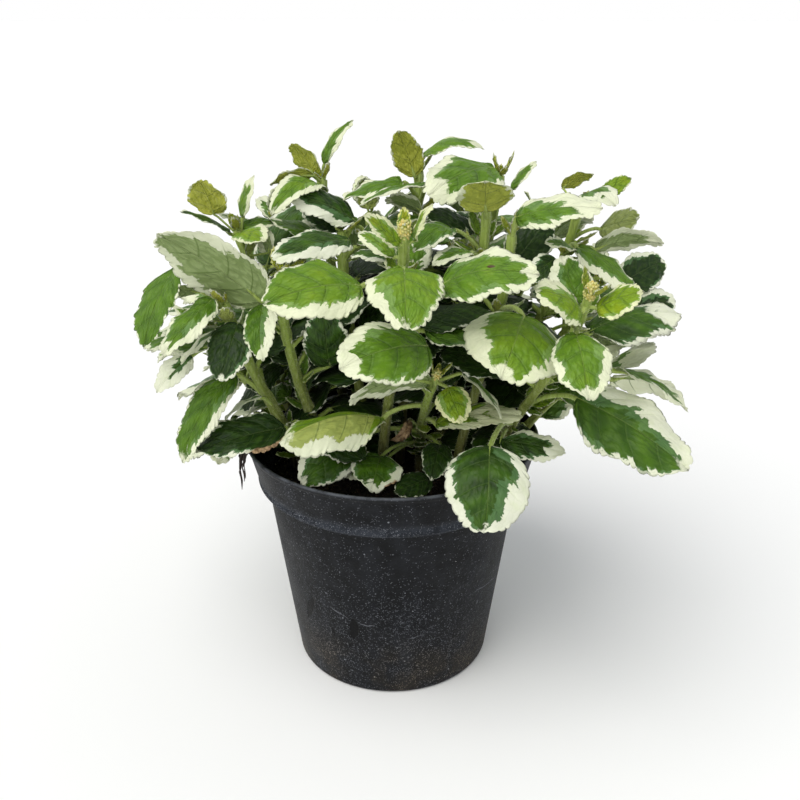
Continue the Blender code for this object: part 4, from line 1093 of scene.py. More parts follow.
def bent(shoot, blade, about_up, about_level, size):
    """The same leaf turned round its foot on the stem, and made smaller."""
    start = along(shoot, blade["at"])
    run = blade["tip"] - start
    level = run.cross(Vector((0, 0, 1)))
    if level.length < 0.01:
        level = Vector((1, 0, 0))
    turn = Matrix.Rotation(math.radians(about_up), 3, "Z") @ Matrix.Rotation(
        math.radians(about_level), 3, level.normalized()
    )
    base = start + turn @ (blade["base"] - start)
    tip = base + turn @ (blade["tip"] - blade["base"]) * size
    return dict(blade, base=base, tip=tip, face=turn @ blade["face"])


def settle(owner, shoot, blade, placed, guard, most, sizes):
    """Bends a leaf until it is clear of the rest. Returns None where there is no room for it."""
    for size in sizes:
        for about_up, about_level in bends(most):
            tried = bent(shoot, blade, about_up, about_level, size)
            box, whole, alone = leaf_trees(shoot, tried)
            if is_clear(owner, box, whole, alone, placed, guard):
                placed.append((owner, box, whole, alone))
                return tried
    return None


def grow_all():
    """Settles every leaf round the stems: first those with their own places, then the ruled ones."""
    placed = []
    guard = pot_guard()
    for name, shoot in STEMS.items():
        shoot["path"] = stem_path(shoot)
        shoot["blades"] = []
        mesh = stem_mesh(name, shoot, CLEARANCE)
        points = [v.co / MM for v in mesh.vertices]
        tree = BVHTree.FromPolygons(points, [tuple(f.vertices) for f in mesh.polygons])
        placed.append((name, bounds(points), tree, tree))
        bpy.data.meshes.remove(mesh)
    for name, shoot in STEMS.items():
        for blade in shoot["leaves"]:
            ready = formed(blade, name + blade["name"])
            done = settle(name, shoot, ready, placed, guard, PLACED_TURN, PLACED_SIZES)
            if done is None:
                raise ValueError(f"no room for {blade['name']} on {name}")
            shoot["blades"].append(done)
    for k in range(len(PAIRS)):
        for name, shoot in STEMS.items():
            for blade in rule_leaves(name, shoot, k):
                done = settle(
                    name, shoot, formed(blade, blade["name"]), placed, guard, RULED_TURN, RULED_SIZES
                )
                if done:
                    shoot["blades"].append(done)


# The leaves in full: soft, slightly quilted blades with round teeth, sunk veins, a raised midrib below and a
# fine round edge, each on a stalk that runs on under its midrib. Small young leaves stand round every tip and
# in the joints, and small dull ones fill the shade inside, darkened further as painted shade.
TEETH = ((44.0, 16), (34.0, 14), (26.0, 12), (18.0, 9), (12.0, 7), (0.0, 5))
TOOTH_DEPTH = (0.5, 0.011)
FINE_ROUNDNESS = 0.54
FINE_WIDTH = 0.97
VEINS = ((34.0, 6), (22.0, 5), (0.0, 4))
FINE = dict(steps=(0.0, 0.22, 0.5, 0.8), columns=(0.05, 0.15, 0.3, 0.45, 0.6, 0.74, 0.86, 0.95, 1.0))
PLAIN = dict(steps=(0.0, 0.3, 0.7), columns=(0.1, 0.32, 0.6, 0.88, 1.0))
SMALL = dict(steps=(0.0, 0.45), columns=(0.15, 0.55, 1.0))
INNER = dict(steps=(0.0, 0.5), columns=(0.15, 0.5, 0.9, 1.0))
HALF_THICK = 0.27
PUFF = 0.019
RUFFLE = 0.0035
MARGIN_STEPS = 800
AHEAD = 0.012
RIB_ALONG = np.array([0.0, 0.05, 0.11, 0.18, 0.26])
RIB_SIZES = (1.0, 0.85, 0.65, 0.45, 0.25)
NEAR_TIP = 0.93
TIP_LEAVES = ((90, 24, 9.5), (270, 24, 9.5), (0, 16, 6.0), (180, 16, 6.0))
SMALL_SIZES = (1.0, 0.7)
INNER_TURN = 26
INNER_SIZES = (1.0, 0.7, 0.5)
FRONT_FREE = -45
STEM_SIDES = 16
STALK_SIDES = 8


def smooth(x, low, high):
    """A smooth step of an array between two limits."""
    t = np.clip((x - low) / (high - low), 0.0, 1.0)
    return t * t * (3 - 2 * t)


def on_blade(blade, y, x):
    """Points on the blade's middle surface, y along it and x across it, and which way is up."""
    form = blade["form"]
    chord = blade["tip"] - blade["base"]
    length = chord.length
    way = chord / length
    level = (blade["face"] - way * blade["face"].dot(way)).normalized()
    v = y / length
    turned = (form["twist"] * (v - 0.4))[..., None]
    up = np.array(level) * np.cos(turned) + np.array(way.cross(level)) * np.sin(turned)
    across = np.cross(up, np.array(way))
    half = length * blade["width"] / 2 * np.sin(np.pi * np.clip(v, 0, 1) ** WIDEST_LOW) ** ROUNDNESS
    u = np.clip(np.abs(x) / np.maximum(half, 0.05 * length), 0.0, 1.15)
    phase = form["phase"] + np.where(x > 0, form["lag"], 0.0)
    rise = form["arch"] * length * 4 * v * (1 - v) + form["fold"] * np.abs(x) - EDGE_DROOP * x * x
    rise += form["wave"] * length * u * u * np.sin(WAVES * math.tau * v + phase)
    flat = np.array(blade["base"]) + np.array(way) * y[..., None] + across * x[..., None]
    return flat + up * rise[..., None], up


def leaf_rows(blade, detail):
    """The blade's rows, from its base to its tip: where each starts at the midrib, where and how far it
    reaches each margin, and the place of its teeth."""
    length = long(blade)
    teeth = number_for(length, TEETH)
    places = [i + f for i in range(teeth) for f in detail["steps"]]
    places += [teeth + f for f in detail["steps"] if f < 0.4]
    place = np.array(places[1:] + [teeth + 0.5])
    form = blade["form"]
    blunt, low = form.get("blunt", FINE_ROUNDNESS), form.get("low", WIDEST_LOW)
    uneven = 0.2 * np.sin(2.1 * place + form["phase"])
    s = (place + uneven * np.minimum(teeth + 0.5 - place, 1.0)) / (teeth + 0.5)
    v = np.linspace(0.0, 1.0, MARGIN_STEPS + 1) ** 1.5
    y = v * length
    x = FINE_WIDTH * length * blade["width"] / 2 * np.abs(np.sin(np.pi * v**low)) ** blunt
    run = np.concatenate([[0.0], np.cumsum(np.hypot(np.diff(y), np.diff(x)))])
    run /= run[-1]
    edge_y, edge_x = np.interp(s, run, y), np.interp(s, run, x)
    way_y, way_x = (np.interp(s + AHEAD, run, w) - np.interp(s - AHEAD, run, w) for w in (y, x))
    size = np.hypot(way_y, way_x) + 1e-9
    spine = np.maximum(edge_y / length - 0.3 * np.sin(np.pi * s) ** 0.7, 0.05 * s)
    spine = np.maximum.accumulate(spine) * length
    draw = random.Random(blade["name"] + f"{blade['at']:.3f}")
    tooth = min(TOOTH_DEPTH[0] + TOOTH_DEPTH[1] * length, 0.06 * length)
    bulges = []
    for _ in range(2):
        sizes = np.array([draw.uniform(0.5, 1.25) for _ in range(teeth + 1)])
        part = place - np.floor(place)
        tall = sizes[np.floor(place).astype(int)] * np.sin(np.pi * part**1.15) ** 0.6 - 0.55
        bulges.append(tall * tooth * smooth(s, 0.02, 0.14))
    return s, place, edge_y, edge_x, -way_x / size, way_y / size, spine, bulges


def leaf_blade(blade, detail):
    """One blade as a closed mesh: its points, their places in the leaf, its faces, and which are below."""
    length = long(blade)
    form = blade["form"]
    s, place, edge_y, edge_x, out_y, out_x, spine, bulges = leaf_rows(blade, detail)
    rows = len(s) - 1
    u = np.array(detail["columns"])
    sides = []
    for side, bulge in ((-1.0, bulges[0]), (1.0, bulges[1])):
        swell = bulge[:, None] * u**5
        y = spine[:, None] + (edge_y - spine)[:, None] * u + out_y[:, None] * swell
        y -= 0.045 * length * 4 * u * (1 - u) * np.sin(np.pi * s)[:, None]
        x = side * (edge_x[:, None] * u + out_x[:, None] * swell)
        sides.append((y, x))
    y = np.hstack([sides[0][0][:, ::-1], spine[:, None], sides[1][0]])[:rows]
    x = np.hstack([sides[0][1][:, ::-1], np.zeros((rows + 1, 1)), sides[1][1]])[:rows]
    signed = np.concatenate([-u[::-1], [0.0], u])
    far = np.abs(signed)[None, :]
    veins = s[:rows, None] * number_for(length, VEINS) + np.where(signed > 0, 0.18, 0.0)
    puff = np.abs(np.sin(np.pi * veins)) - 0.5
    lift = PUFF * length * puff * smooth(far, 0.02, 0.25) * (1 - smooth(far, 0.5, 0.95))
    lift -= 0.28 * min(length / 36, 1.0) * np.exp(-((x / 1.1) ** 2))
    ruffle = np.sin(math.tau * place[:rows, None] * 0.5 + form["phase"] + signed)
    lift += RUFFLE * length * far**4 * ruffle
    fall = smooth(s[:rows, None], 0.1, 0.6) * np.sin(np.pi * s[:rows, None]) ** 0.6
    lift -= form.get("turned", 0.0) * (signed > 0) * far**1.3 * fall
    middle, up = on_blade(blade, y, x)
    thick = HALF_THICK * (1 - 0.75 * far**4) * np.ones((rows, 1))
    thick[:, [0, -1]] = 0.0
    below = thick.copy()
    below[:, len(u)] += (0.12 + 0.8 * (1 - spine[:rows] / length)) * min(length / 36, 1.0)
    top = middle + up * (lift + thick)[..., None]
    low = (middle + up * (lift - below)[..., None])[:, 1:-1]
    ends, _ = on_blade(blade, np.array([0.0, length + 0.3]), np.zeros(2))
    wide = len(signed)
    points = np.concatenate([ends, top.reshape(-1, 3), low.reshape(-1, 3)])
    grid = np.stack(np.broadcast_arrays(0.5 + 0.5 * signed[None, :], s[:rows, None]), axis=-1)
    uv = np.concatenate([[[0.5, 0.0], [0.5, 1.0]], grid.reshape(-1, 2), grid[:, 1:-1].reshape(-1, 2)])
    over = 2 + np.arange(rows * wide).reshape(rows, wide)
    under = over.copy()
    under[:, 1:-1] = 2 + rows * wide + np.arange(rows * (wide - 2)).reshape(rows, wide - 2)

    def skin(net):
        quads = np.stack([net[:-1, :-1], net[1:, :-1], net[1:, 1:], net[:-1, 1:]], axis=-1).reshape(-1, 4)
        none = np.full(wide - 1, -1)
        foot = np.stack([np.zeros(wide - 1, int), net[0, :-1], net[0, 1:], none], axis=-1)
        end = np.stack([net[-1, :-1], np.ones(wide - 1, int), net[-1, 1:], none], axis=-1)
        return np.concatenate([quads, foot, end])

    upper = skin(over)
    lower = skin(under)
    flipped = np.where(lower[:, 3:] < 0, lower[:, [2, 1, 0, 3]], lower[:, [3, 2, 1, 0]])
    return points, uv, np.concatenate([upper, flipped]), np.repeat([0.0, 1.0], [len(upper), len(flipped)])


def tube(places, sizes, sides, square=0.0):
    """A closed tube through places with its radius at each, round or squarish in section."""
    places = np.array([tuple(place) for place in places], float)
    ways = np.gradient(places, axis=0)
    ways /= np.linalg.norm(ways, axis=1)[:, None]
    side = np.cross(ways[0], (0.3, 0.2, 1.0) if abs(ways[0][2]) < 0.9 else (1.0, 0.3, 0.0))
    angle = np.arange(sides) * math.tau / sides
    shape = 1.0 - square + square * np.cos(4 * angle)
    rings = []
    for place, way, size in zip(places, ways, sizes):
        side = side - way * side.dot(way)
        side /= np.linalg.norm(side)
        other = np.cross(way, side)
        ring = np.outer(np.cos(angle) * shape, side) + np.outer(np.sin(angle) * shape, other)
        rings.append(place + ring * size)
    caps = [places[0] - ways[0] * sizes[0] * 0.3, places[-1] + ways[-1] * sizes[-1] * 0.6]
    points = np.concatenate([*rings, caps])
    net = np.arange(len(places) * sides).reshape(-1, sides)
    after = np.roll(net, -1, axis=1)
    quads = np.stack([net[:-1], after[:-1], after[1:], net[1:]], axis=-1).reshape(-1, 4)
    none = np.full(sides, -1)
    first, last = len(points) - 2, len(points) - 1
    foot = np.stack([after[0], net[0], np.full(sides, first), none], axis=-1)
    end = np.stack([net[-1], after[-1], np.full(sides, last), none], axis=-1)
    return points, np.concatenate([quads, foot, end])


def put(shell, points, faces, uv=None, slot=0, under=None, cream=(0, 0, 0), growth_and_shade=(0, 0, 0), dry=(0, 0, 0)):
    """Adds a closed piece of mesh to a shell, with what its material reads."""
    start = shell["count"]
    shell["count"] += len(points)
    shell["points"].append(points)
    shell["uv"].append(np.zeros((len(points), 2)) + 0.5 if uv is None else uv)
    shell["faces"].append(np.where(faces < 0, -1, faces + start))
    shell["slot"].append(np.full(len(faces), slot))
    shell["under"].append(np.zeros(len(faces)) if under is None else under)
    for key, value in (("cream", cream), ("growth_and_shade", growth_and_shade), ("dry", dry)):
        value = np.array(value, float)
        shell[key].append(np.broadcast_to(value, (len(points), 3)))


def new_shell():
    """A mesh to be filled piece by piece."""
    return dict(count=0, points=[], uv=[], faces=[], slot=[], under=[], cream=[], growth_and_shade=[], dry=[])


def object_of(name, shell, materials):
    """Makes an object of a shell, with its UV map and attributes."""
    points = np.concatenate(shell["points"]) * MM
    faces = np.concatenate(shell["faces"])
    used = faces >= 0
    corners = faces[used].astype(np.int32)
    totals = used.sum(axis=1)
    mesh = bpy.data.meshes.new(name)
    mesh.vertices.add(len(points))
    mesh.vertices.foreach_set("co", points.ravel())
    mesh.loops.add(len(corners))
    mesh.loops.foreach_set("vertex_index", corners)
    mesh.polygons.add(len(faces))
    mesh.polygons.foreach_set("loop_start", np.concatenate([[0], np.cumsum(totals)[:-1]]).astype(np.int32))
    mesh.polygons.foreach_set("material_index", np.concatenate(shell["slot"]).astype(np.int32))
    mesh.polygons.foreach_set("use_smooth", np.ones(len(faces), bool))
    mesh.update(calc_edges=True)
    layer = mesh.uv_layers.new(name="blade")
    layer.data.foreach_set("uv", np.concatenate(shell["uv"])[corners].ravel())
    for key in ("cream", "growth_and_shade", "dry"):
        layer = mesh.attributes.new(key, "FLOAT_VECTOR", "POINT")
        layer.data.foreach_set("vector", np.concatenate(shell[key]).ravel())
    layer = mesh.attributes.new("under", "FLOAT", "FACE")
    layer.data.foreach_set("value", np.concatenate(shell["under"]))
    for used_material in materials:
        mesh.materials.append(used_material)
    return linked(name, mesh)


def put_leaf(shell, shoot, blade, detail, tone, cream, dry):
    """Adds a blade and its stalk to a stem's shell."""
    length = long(blade)
    seed = random.Random(blade["name"] + f"{blade['base'].x:.0f}").random()
    points, uv, faces, under = leaf_blade(blade, detail)
    if "turned" in blade["form"]:
        # The outer part of one half is rolled back, and its pale lower side shows.
        centre = uv[faces[:, :3]].mean(axis=1)
        under = np.maximum(under, (centre[:, 0] > 0.53) & (centre[:, 1] > 0.4))
    put(shell, points, faces, uv, 0, under, cream, (seed, tone, number_for(length, VEINS)), dry or (0, 0, 0))
    start = along(shoot, blade["at"])
    run = blade["base"] - start
    raised = start + run / 2
    if run.length > STALK_BEND_FROM:
        raised += Vector((0.0, 0.0, 0.2)) * run.length
    size = 1.15 if length > 30 else 0.85 if length > YOUNG else 0.5
    steps = 7 if run.length > 8 else 4
    places = []
    sizes = []
    for i in range(steps):
        t = i / steps
        places.append(start * (1 - t) ** 2 + raised * 2 * t * (1 - t) + blade["base"] * t * t)
        sizes.append(size * (1.25 - 0.75 * t + 0.55 * t * t))
    for place, lift, share in zip(*on_blade(blade, RIB_ALONG * length, 0 * RIB_ALONG), RIB_SIZES):
        places.append(Vector(place - lift * (0.15 + share * size * 0.8)))
        sizes.append(size * share)
    points, faces = tube(places, sizes, STALK_SIDES)
    # The stalk darkens a little with its leaf's tone, and so with the leaf's painted shade.
    put(shell, points, faces, slot=1, growth_and_shade=(seed, 0.15 + 0.2 * tone, 0.0))


def small_leaf(shoot, at, round_by, open_by, size, label, start=0.8):
    """A young leaf close to the stem, its upper side towards it."""
    way = heading(shoot, at)
    out = off_stem(way, math.radians(round_by))
    run = way * math.cos(math.radians(open_by)) + out * math.sin(math.radians(open_by))
    base = along(shoot, at) + out * start + run * 0.18 * size
    made = leaf(label, at, base, base + run * size, way * 0.9 - out * 0.7, 0.62, fold=0.25, arch=-0.06)
    return formed(made, label)


def more_leaves():
    """Settles the young leaves at tips and joints, and the dull ones inside the dome, among those placed."""
    guard = pot_guard()
    placed = []
    for name, shoot in STEMS.items():
        for blade in shoot["blades"]:
            placed.append((name, *leaf_trees(shoot, blade)))
    for name, shoot in STEMS.items():
        shoot["small"] = []
        draw = random.Random(name)
        for k, (round_by, open_by, size) in enumerate(TIP_LEAVES):
            turned = shoot["turn"] + round_by + draw.uniform(-12, 12)
            open_by += draw.uniform(-8, 14)
            made = small_leaf(shoot, 1.0, turned, open_by, size * draw.uniform(0.8, 1.15), f"{name}_tip_{k}")
            made = settle(name, shoot, made, placed, guard, PLACED_TURN, SMALL_SIZES)
            if made:
                shoot["small"].append((made, draw.uniform(0.0, 0.12), (0.2, 0.2, 0.2)))
        for blade in shoot["blades"]:
            run = blade["base"] - along(shoot, blade["at"])
            way = heading(shoot, blade["at"])
            out = run - way * run.dot(way)
            if blade["at"] > NEAR_TIP or draw.random() < 0.35 or out.length < 1.0:
                continue
            level = level_from(way)
            toward = math.degrees(math.atan2(out.dot(way.cross(level)), out.dot(level)))
            for k, side in enumerate((-38, 38)):
                size = draw.uniform(6.0, 13.0)
                label = f"{blade['name']}_joint_{k}"
                made = small_leaf(
                    shoot, blade["at"], toward + side, draw.uniform(28, 55), size, name + label, 2.0
                )
                made = settle(name, shoot, made, placed, guard, PLACED_TURN, SMALL_SIZES)
                if made:
                    cream = (draw.uniform(0.1, 0.35), draw.uniform(0.1, 0.35), 0.15)
                    shoot["small"].append((made, draw.uniform(0.15, 0.45), cream))
    for name, shoot in STEMS.items():
        shoot["inner"] = []
        length = length_of(shoot)
        for k in range(2 * len(PAIRS)):
            down, size, spread = PAIRS[k // 2]
            at = 1.0 - (down + 9 * (k % 2)) / length
            if at < LOWEST_PAIR:
                continue
            for i in (0, 1):
                angle = shoot["turn"] + 45 * k + 180 * i
                blade = pair_leaf(shoot, at, size * 0.85, spread, angle, f"{name}_inner_{k}_{i}")
                if not shaded(blade["tip"]) or blade["tip"].y < FRONT_FREE:
                    continue
                made = settle(
                    name, shoot, formed(blade, blade["name"]), placed, guard, INNER_TURN, INNER_SIZES
                )
                if made:
                    shoot["inner"].append(made)


grow_all()
more_leaves()
withered = leaf("withered", 0.4, (9, -27, 144), (-1, -31, 135), (0.3, -1, 0.4), 0.42,
                dry=(0.5, 0.65, 3.0), arch=0.5, fold=0.9)
STEMS["stem_low_front"]["small"].append((formed(withered, "withered"), 0.6, (0, 0, 0)))

leaf_material, tree, shader = new_material("variegated_leaf")


def read(name):
    """The three parts of what a piece carries at each point."""
    return split(add("ShaderNodeAttribute", attribute_name=name).outputs["Vector"])


place = own_place()
over_blade, run, _ = split(add("ShaderNodeUVMap", uv_map="blade").outputs[0])
seed, tone, veins = read("growth_and_shade")
share = read("cream")
dry = read("dry")
under = add("ShaderNodeAttribute", attribute_name="under").outputs["Fac"]
signed = scaled(over_blade, 2.0, -1.0)
far = calc("ABSOLUTE", signed)
plus = calc("GREATER_THAN", signed, 0.0)
wobble = noise(place, 170.0, 2.0)
fine = noise(place, 420.0, 3.0, 0.6)
soft = noise(place, 95.0, 3.0)


def sector(count, offset):
    """A random value for each of so many sectors along each half of the blade."""
    moved = scaled(wobble, 0.09, run)
    step = calc("FLOOR", scaled(moved, count, times(seed, 3.0)))
    step = total(step, scaled(plus, 31.7, offset))
    step = total(step, calc("FLOOR", times(seed, 997.0)))
    return add("ShaderNodeTexWhiteNoise", {"W": step}, noise_dimensions="1D").outputs["Value"]


broad_draw, narrow_draw, grey_draw = sector(8.0, 0.0), sector(23.0, 300.0), sector(6.0, 700.0)
amount = scaled(plus, less(share[1], share[0]), share[0])
rank = scaled(plus, 0.18, times(run, veins))
between = calc("ABSOLUTE", less(calc("FRACT", total(rank, 0.5)), 0.5))
vein = times(ramp(between, 0.055, 0.0), ramp(far, 0.95, 0.6))
rib = ramp(far, 0.035, 0.0)
along_edge = joined(times(run, 4.5), times(plus, 9.0), times(seed, 77.0))
swing = noise(along_edge, 1.0, 2.0)
reach = scaled(swing, 1.1, scaled(broad_draw, 0.45, 0.15))
border = less(1.0, times(amount, reach))
border = total(border, scaled(narrow_draw, 0.15, -0.075))
border = total(border, scaled(fine, 0.24, -0.12))
border = total(border, times(vein, 0.05))
pale = ramp(less(far, border), -0.015, 0.02)
tip_from = times(share[2], scaled(grey_draw, 0.35, 0.3))
tip_from = less(1.0, tip_from)
at_tip = ramp(less(scaled(fine, 0.1, run), tip_from), 0.04, 0.07)
rimmed = calc("MULTIPLY", amount, 8.0, clamp=True)
edge = times(ramp(scaled(rimmed, 0.04, far), 0.975, 1.0), rimmed)
pale = any_of(pale, at_tip, times(edge, 0.9))
grey_from = times(amount, scaled(grey_draw, 1.0, 0.05))
grey = ramp(less(far, less(border, grey_from)), -0.015, 0.02)
cell_place = joined(scaled(times(signed, veins), 0.95, times(seed, 77.0)), times(rank, 2.4))
flat = {"Vector": cell_place, "Scale": 1.3, "Detail": 1.0}
bent_place = add("ShaderNodeTexNoise", flat, noise_dimensions="2D").outputs["Color"]
bent_place = vector("MULTIPLY_ADD", bent_place, (0.7, 0.7, 0.0), cell_place)
flat = {"Vector": bent_place, "Scale": 1.0}
cells = add(
    "ShaderNodeTexVoronoi", {**flat, "Smoothness": 0.3}, feature="SMOOTH_F1", voronoi_dimensions="2D"
)
puffs = ramp(cells.outputs["Distance"], 0.7, 0.05)
net = add("ShaderNodeTexVoronoi", flat, feature="DISTANCE_TO_EDGE", voronoi_dimensions="2D")
net = ramp(net.outputs["Distance"], 0.11, 0.0)
# The green deepens with the leaf's tone and a soft large mottle. The mottle also paints bright patches of
# light on the blade's undulations. The green deepens further along the veins as painted shade in their sunk
# creases.
shade = total(scaled(soft, 0.44, tone), -0.24)
shade = scaled(times(ramp(between, 0.5, 0.1), tone), 0.14, shade)


def colours(value, first, last, *others):
    """A colour ramp: its first and last colours, and each other with its place."""
    made = add("ShaderNodeValToRGB", {"Fac": value})
    stops = made.color_ramp.elements
    stops[0].color = (*first, 1.0)
    stops[1].color = (*last, 1.0)
    for at, colour in others:
        stops.new(at).color = (*colour, 1.0)
    return made.outputs["Color"]


greens = colours(
    shade, (0.38, 0.42, 0.014), (0.008, 0.028, 0.0015),
    (0.2, (0.2, 0.32, 0.009)), (0.45, (0.108, 0.225, 0.008)), (0.75, (0.04, 0.105, 0.004)),
)
# Lighter puff middles and darker cell edges: a painted highlight on the quilts and painted shade in the
# creases between them, which also darkens the fine vein net.
lit = times(puffs, ramp(tone, 0.3, 1.0, 0.13, 0.05))
green = mix(lit, greens, (0.3, 0.48, 0.08))
green = mix(times(net, ramp(tone, 0.2, 0.8, 0.2, 0.07)), green, (0.02, 0.06, 0.004))
# Darker flanks along each vein, round the lighter vein line: painted shade in the vein's groove.
groove_shade = times(ramp(between, 0.14, 0.04), ramp(tone, 0.1, 0.7, 0.35, 0.15))
green = mix(groove_shade, green, (0.02, 0.07, 0.006))
green = mix(times(vein, ramp(tone, 0.3, 1.0, 0.22, 0.06)), green, (0.22, 0.36, 0.06))
green = mix(times(rib, ramp(tone, 0.3, 1.0, 0.4, 0.12)), green, (0.3, 0.42, 0.1))
grey_green = mix(ramp(shade, 0.2, 0.9), (0.24, 0.39, 0.09), (0.085, 0.18, 0.06))
# The cell edges are darker in the grey-green too: painted shade between the quilts.
grey_green = mix(times(net, 0.25), grey_green, (0.05, 0.12, 0.02))
green = mix(times(grey, 0.8), green, grey_green)
cream = mix(ramp(tone, 0.0, 0.3), (0.72, 0.71, 0.23), (0.75, 0.78, 0.53))
cream = mix(ramp(tone, 0.3, 0.9), cream, (0.76, 0.78, 0.62))
cream = mix(times(vein, 0.2), cream, (0.55, 0.62, 0.33))
cream = mix(times(ramp(wobble, 0.5, 0.75), 0.25), cream, (0.6, 0.7, 0.36))
# A greener, darker net in the cream: partly the fine veins' own green, partly painted shade between the
# quilts.
cream = mix(times(net, 0.16), cream, (0.5, 0.56, 0.34))
top = mix(pale, green, cream)
below = mix(ramp(tone, 0.16, 0.4), (0.48, 0.5, 0.07), (0.3, 0.38, 0.155))
below = mix(ramp(tone, 0.6, 1.0, 0.12, 0.75), below, green)
sunk = ramp(tone, 0.1, 0.5, 0.2, 0.75)
# Darker at the cells' edges below: painted shade of the quilting.
below = mix(times(ramp(puffs, 0.6, 0.1), times(sunk, 0.55)), below, (0.13, 0.19, 0.05))
below = mix(pale, below, (0.72, 0.75, 0.54))
below = mix(times(vein, sunk), below, (0.13, 0.2, 0.045))
below = mix(times(rib, sunk), below, (0.2, 0.27, 0.08))
base = mix(under, top, below)
off = vector("DISTANCE", joined(over_blade, times(run, 1.3)), joined(dry[0], dry[1]))
off = scaled(fine, 0.03, off)
dried = ramp(calc("DIVIDE", off, any_of(dry[2], 0.001)), 1.15, 0.9)
marginal = calc("GREATER_THAN", dry[2], 0.1)
dried = times(dried, any_of(ramp(total(far, dry[2]), 1.02, 1.1), less(1.0, marginal)))
withered = mix(ramp(fine, 0.35, 0.6), (0.15, 0.085, 0.04), (0.5, 0.34, 0.19))
withered = mix(marginal, (0.07, 0.04, 0.015), withered)
base = mix(dried, base, withered)
height = scaled(puffs, 0.8, times(fine, 0.3))
height = scaled(vein, -0.4, height)
height = scaled(rib, -0.5, height)
height = times(height, scaled(pale, -0.55, ramp(tone, 0.5, 1.0, 1.0, 0.6)))
height = times(height, scaled(under, -2.0, 1.0))
surface(base, scaled(fine, 0.2, 0.34), height, 0.85, 0.0007, specular=0.24, sheen=0.03)

skin_material, tree, shader = new_material("hairy_stem")
place = own_place()
# The skin darkens from the tip towards the foot: the stem's age, and painted shade low inside the plant.
age_and_shade = read("growth_and_shade")[1]
mottle = noise(place, 240.0, 3.0)
furrows = add("ShaderNodeMapping", {"Vector": place, "Scale": (900.0, 900.0, 70.0)}).outputs[0]
furrows = noise(furrows, 1.0, 2.0)
aged_and_shaded = scaled(mottle, 0.16, less(age_and_shade, 0.08))
aged_and_shaded = colours(
    aged_and_shaded, (0.46, 0.55, 0.16), (0.13, 0.1, 0.04), (0.4, (0.27, 0.37, 0.06)), (0.75, (0.18, 0.21, 0.04))
)
base = mix(ramp(furrows, 0.5, 0.75, 0.0, 0.4), aged_and_shaded, (0.5, 0.56, 0.26))
base = mix(ramp(furrows, 0.5, 0.25, 0.0, 0.5), base, (0.07, 0.09, 0.015))
furrowed = scaled(furrows, 1.5, noise(place, 900.0, 4.0, 0.6))
surface(base, 0.55, furrowed, 0.7, 0.0004, specular=0.3, sheen=0.1)

leafy = {}
for name, shoot in STEMS.items():
    shell = new_shell()
    length = length_of(shoot)
    rings = max(int(length / 3), 8)
    joints = np.array([blade["at"] for blade in shoot["blades"]] or [1.0])
    places = [Vector((*shoot["root"], SOIL_TOP - HOLE_DEPTH + FIT))]
    sizes = [STEM_FOOT]
    for i in range(rings + 1):
        t = i / rings
        places.append(along(shoot, t))
        swollen = 0.2 * np.exp(-(((joints - t) * length / 2.5) ** 2)).max()
        sizes.append((STEM_FOOT + 0.2 - 0.5 * t) * (1 + swollen))
    points, faces = tube(places, sizes, STEM_SIDES, 0.15)
    # The skin's darkening rises from the foot: the stem's age, and painted shade low inside the plant.
    age_and_shade = np.zeros((len(points), 3))
    age_and_shade[: len(places) * STEM_SIDES, 1] = np.repeat(1.0 - 0.72 * np.linspace(0, 1, len(places)), STEM_SIDES)
    age_and_shade[-2:, 1] = (1.0, 0.28)
    put(shell, points, faces, slot=1, growth_and_shade=age_and_shade)
    for blade in shoot["blades"]:
        look = random.Random(name + blade["name"] + "look")
        tone, cream = blade["tone"], blade["cream"]
        if tone is None:
            tone = (0.25 if blade["at"] > NEAR_TIP else 0.45) + look.uniform(0.0, 0.35)
            cream = (look.uniform(0.08, 0.42), look.uniform(0.08, 0.42), look.uniform(0.05, 0.4))
        detail = PLAIN if blade["tone"] is None else FINE
        put_leaf(shell, shoot, blade, detail, tone, cream, blade["dry"])
    for blade, tone, cream in shoot["small"]:
        put_leaf(shell, shoot, blade, SMALL, tone, cream, blade["dry"])
    for blade in shoot["inner"]:
        # Inner leaves take the darkest tone and almost no cream: dull old leaves, with the shade of the
        # dome's inside painted into their colour.
        put_leaf(shell, shoot, blade, INNER, 0.97, (0.02, 0.02, 0.01), None)
    made = object_of(name + "_leafy", shell, (leaf_material, skin_material))
    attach(made, "root")
    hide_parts(name)
    leafy[name] = made


# The flower buds: a knobbly yellow head of tiny round buds that starts to open at the three nearest tips.
# Each head is a small turned core, and Geometry Nodes set the buds over it.
HEADS = (("stem_front", 7.5, 2.5), ("stem_right", 7.5, 2.6), ("stem_low_front", 5.0, 1.9))
bud_tree, given, result = new_group(
    "bud_heads", "GeometryNodeTree", ("Geometry", "Geometry"),
    Geometry="Geometry", Spacing="Float", Bud="Float", Seed="Int", Finish="Material",
)
tree = bud_tree
inputs = {
    "Mesh": given["Geometry"], "Distance Min": given["Spacing"], "Density Max": 5000000.0,
    "Seed": given["Seed"],
}
scatter = add("GeometryNodeDistributePointsOnFaces", inputs, distribute_method="POISSON")
bud = add("GeometryNodeMeshIcoSphere", {"Radius": 1.0, "Subdivisions": 2})
swell = add("FunctionNodeRandomValue", {"Seed": 5, 2: 0.75, 3: 1.2}, data_type="FLOAT").outputs[1]
swell = {0: (1.0, 1.0, 1.35), "Scale": times(swell, given["Bud"])}
swell = add("ShaderNodeVectorMath", swell, operation="SCALE").outputs[0]
both = add("GeometryNodeJoinGeometry")
wire(on_points(scatter, bud, scatter.outputs["Rotation"], swell), both.inputs[0])
wire(given["Geometry"], both.inputs[0])
wire(finish_with(both.outputs[0], given["Finish"]), result)

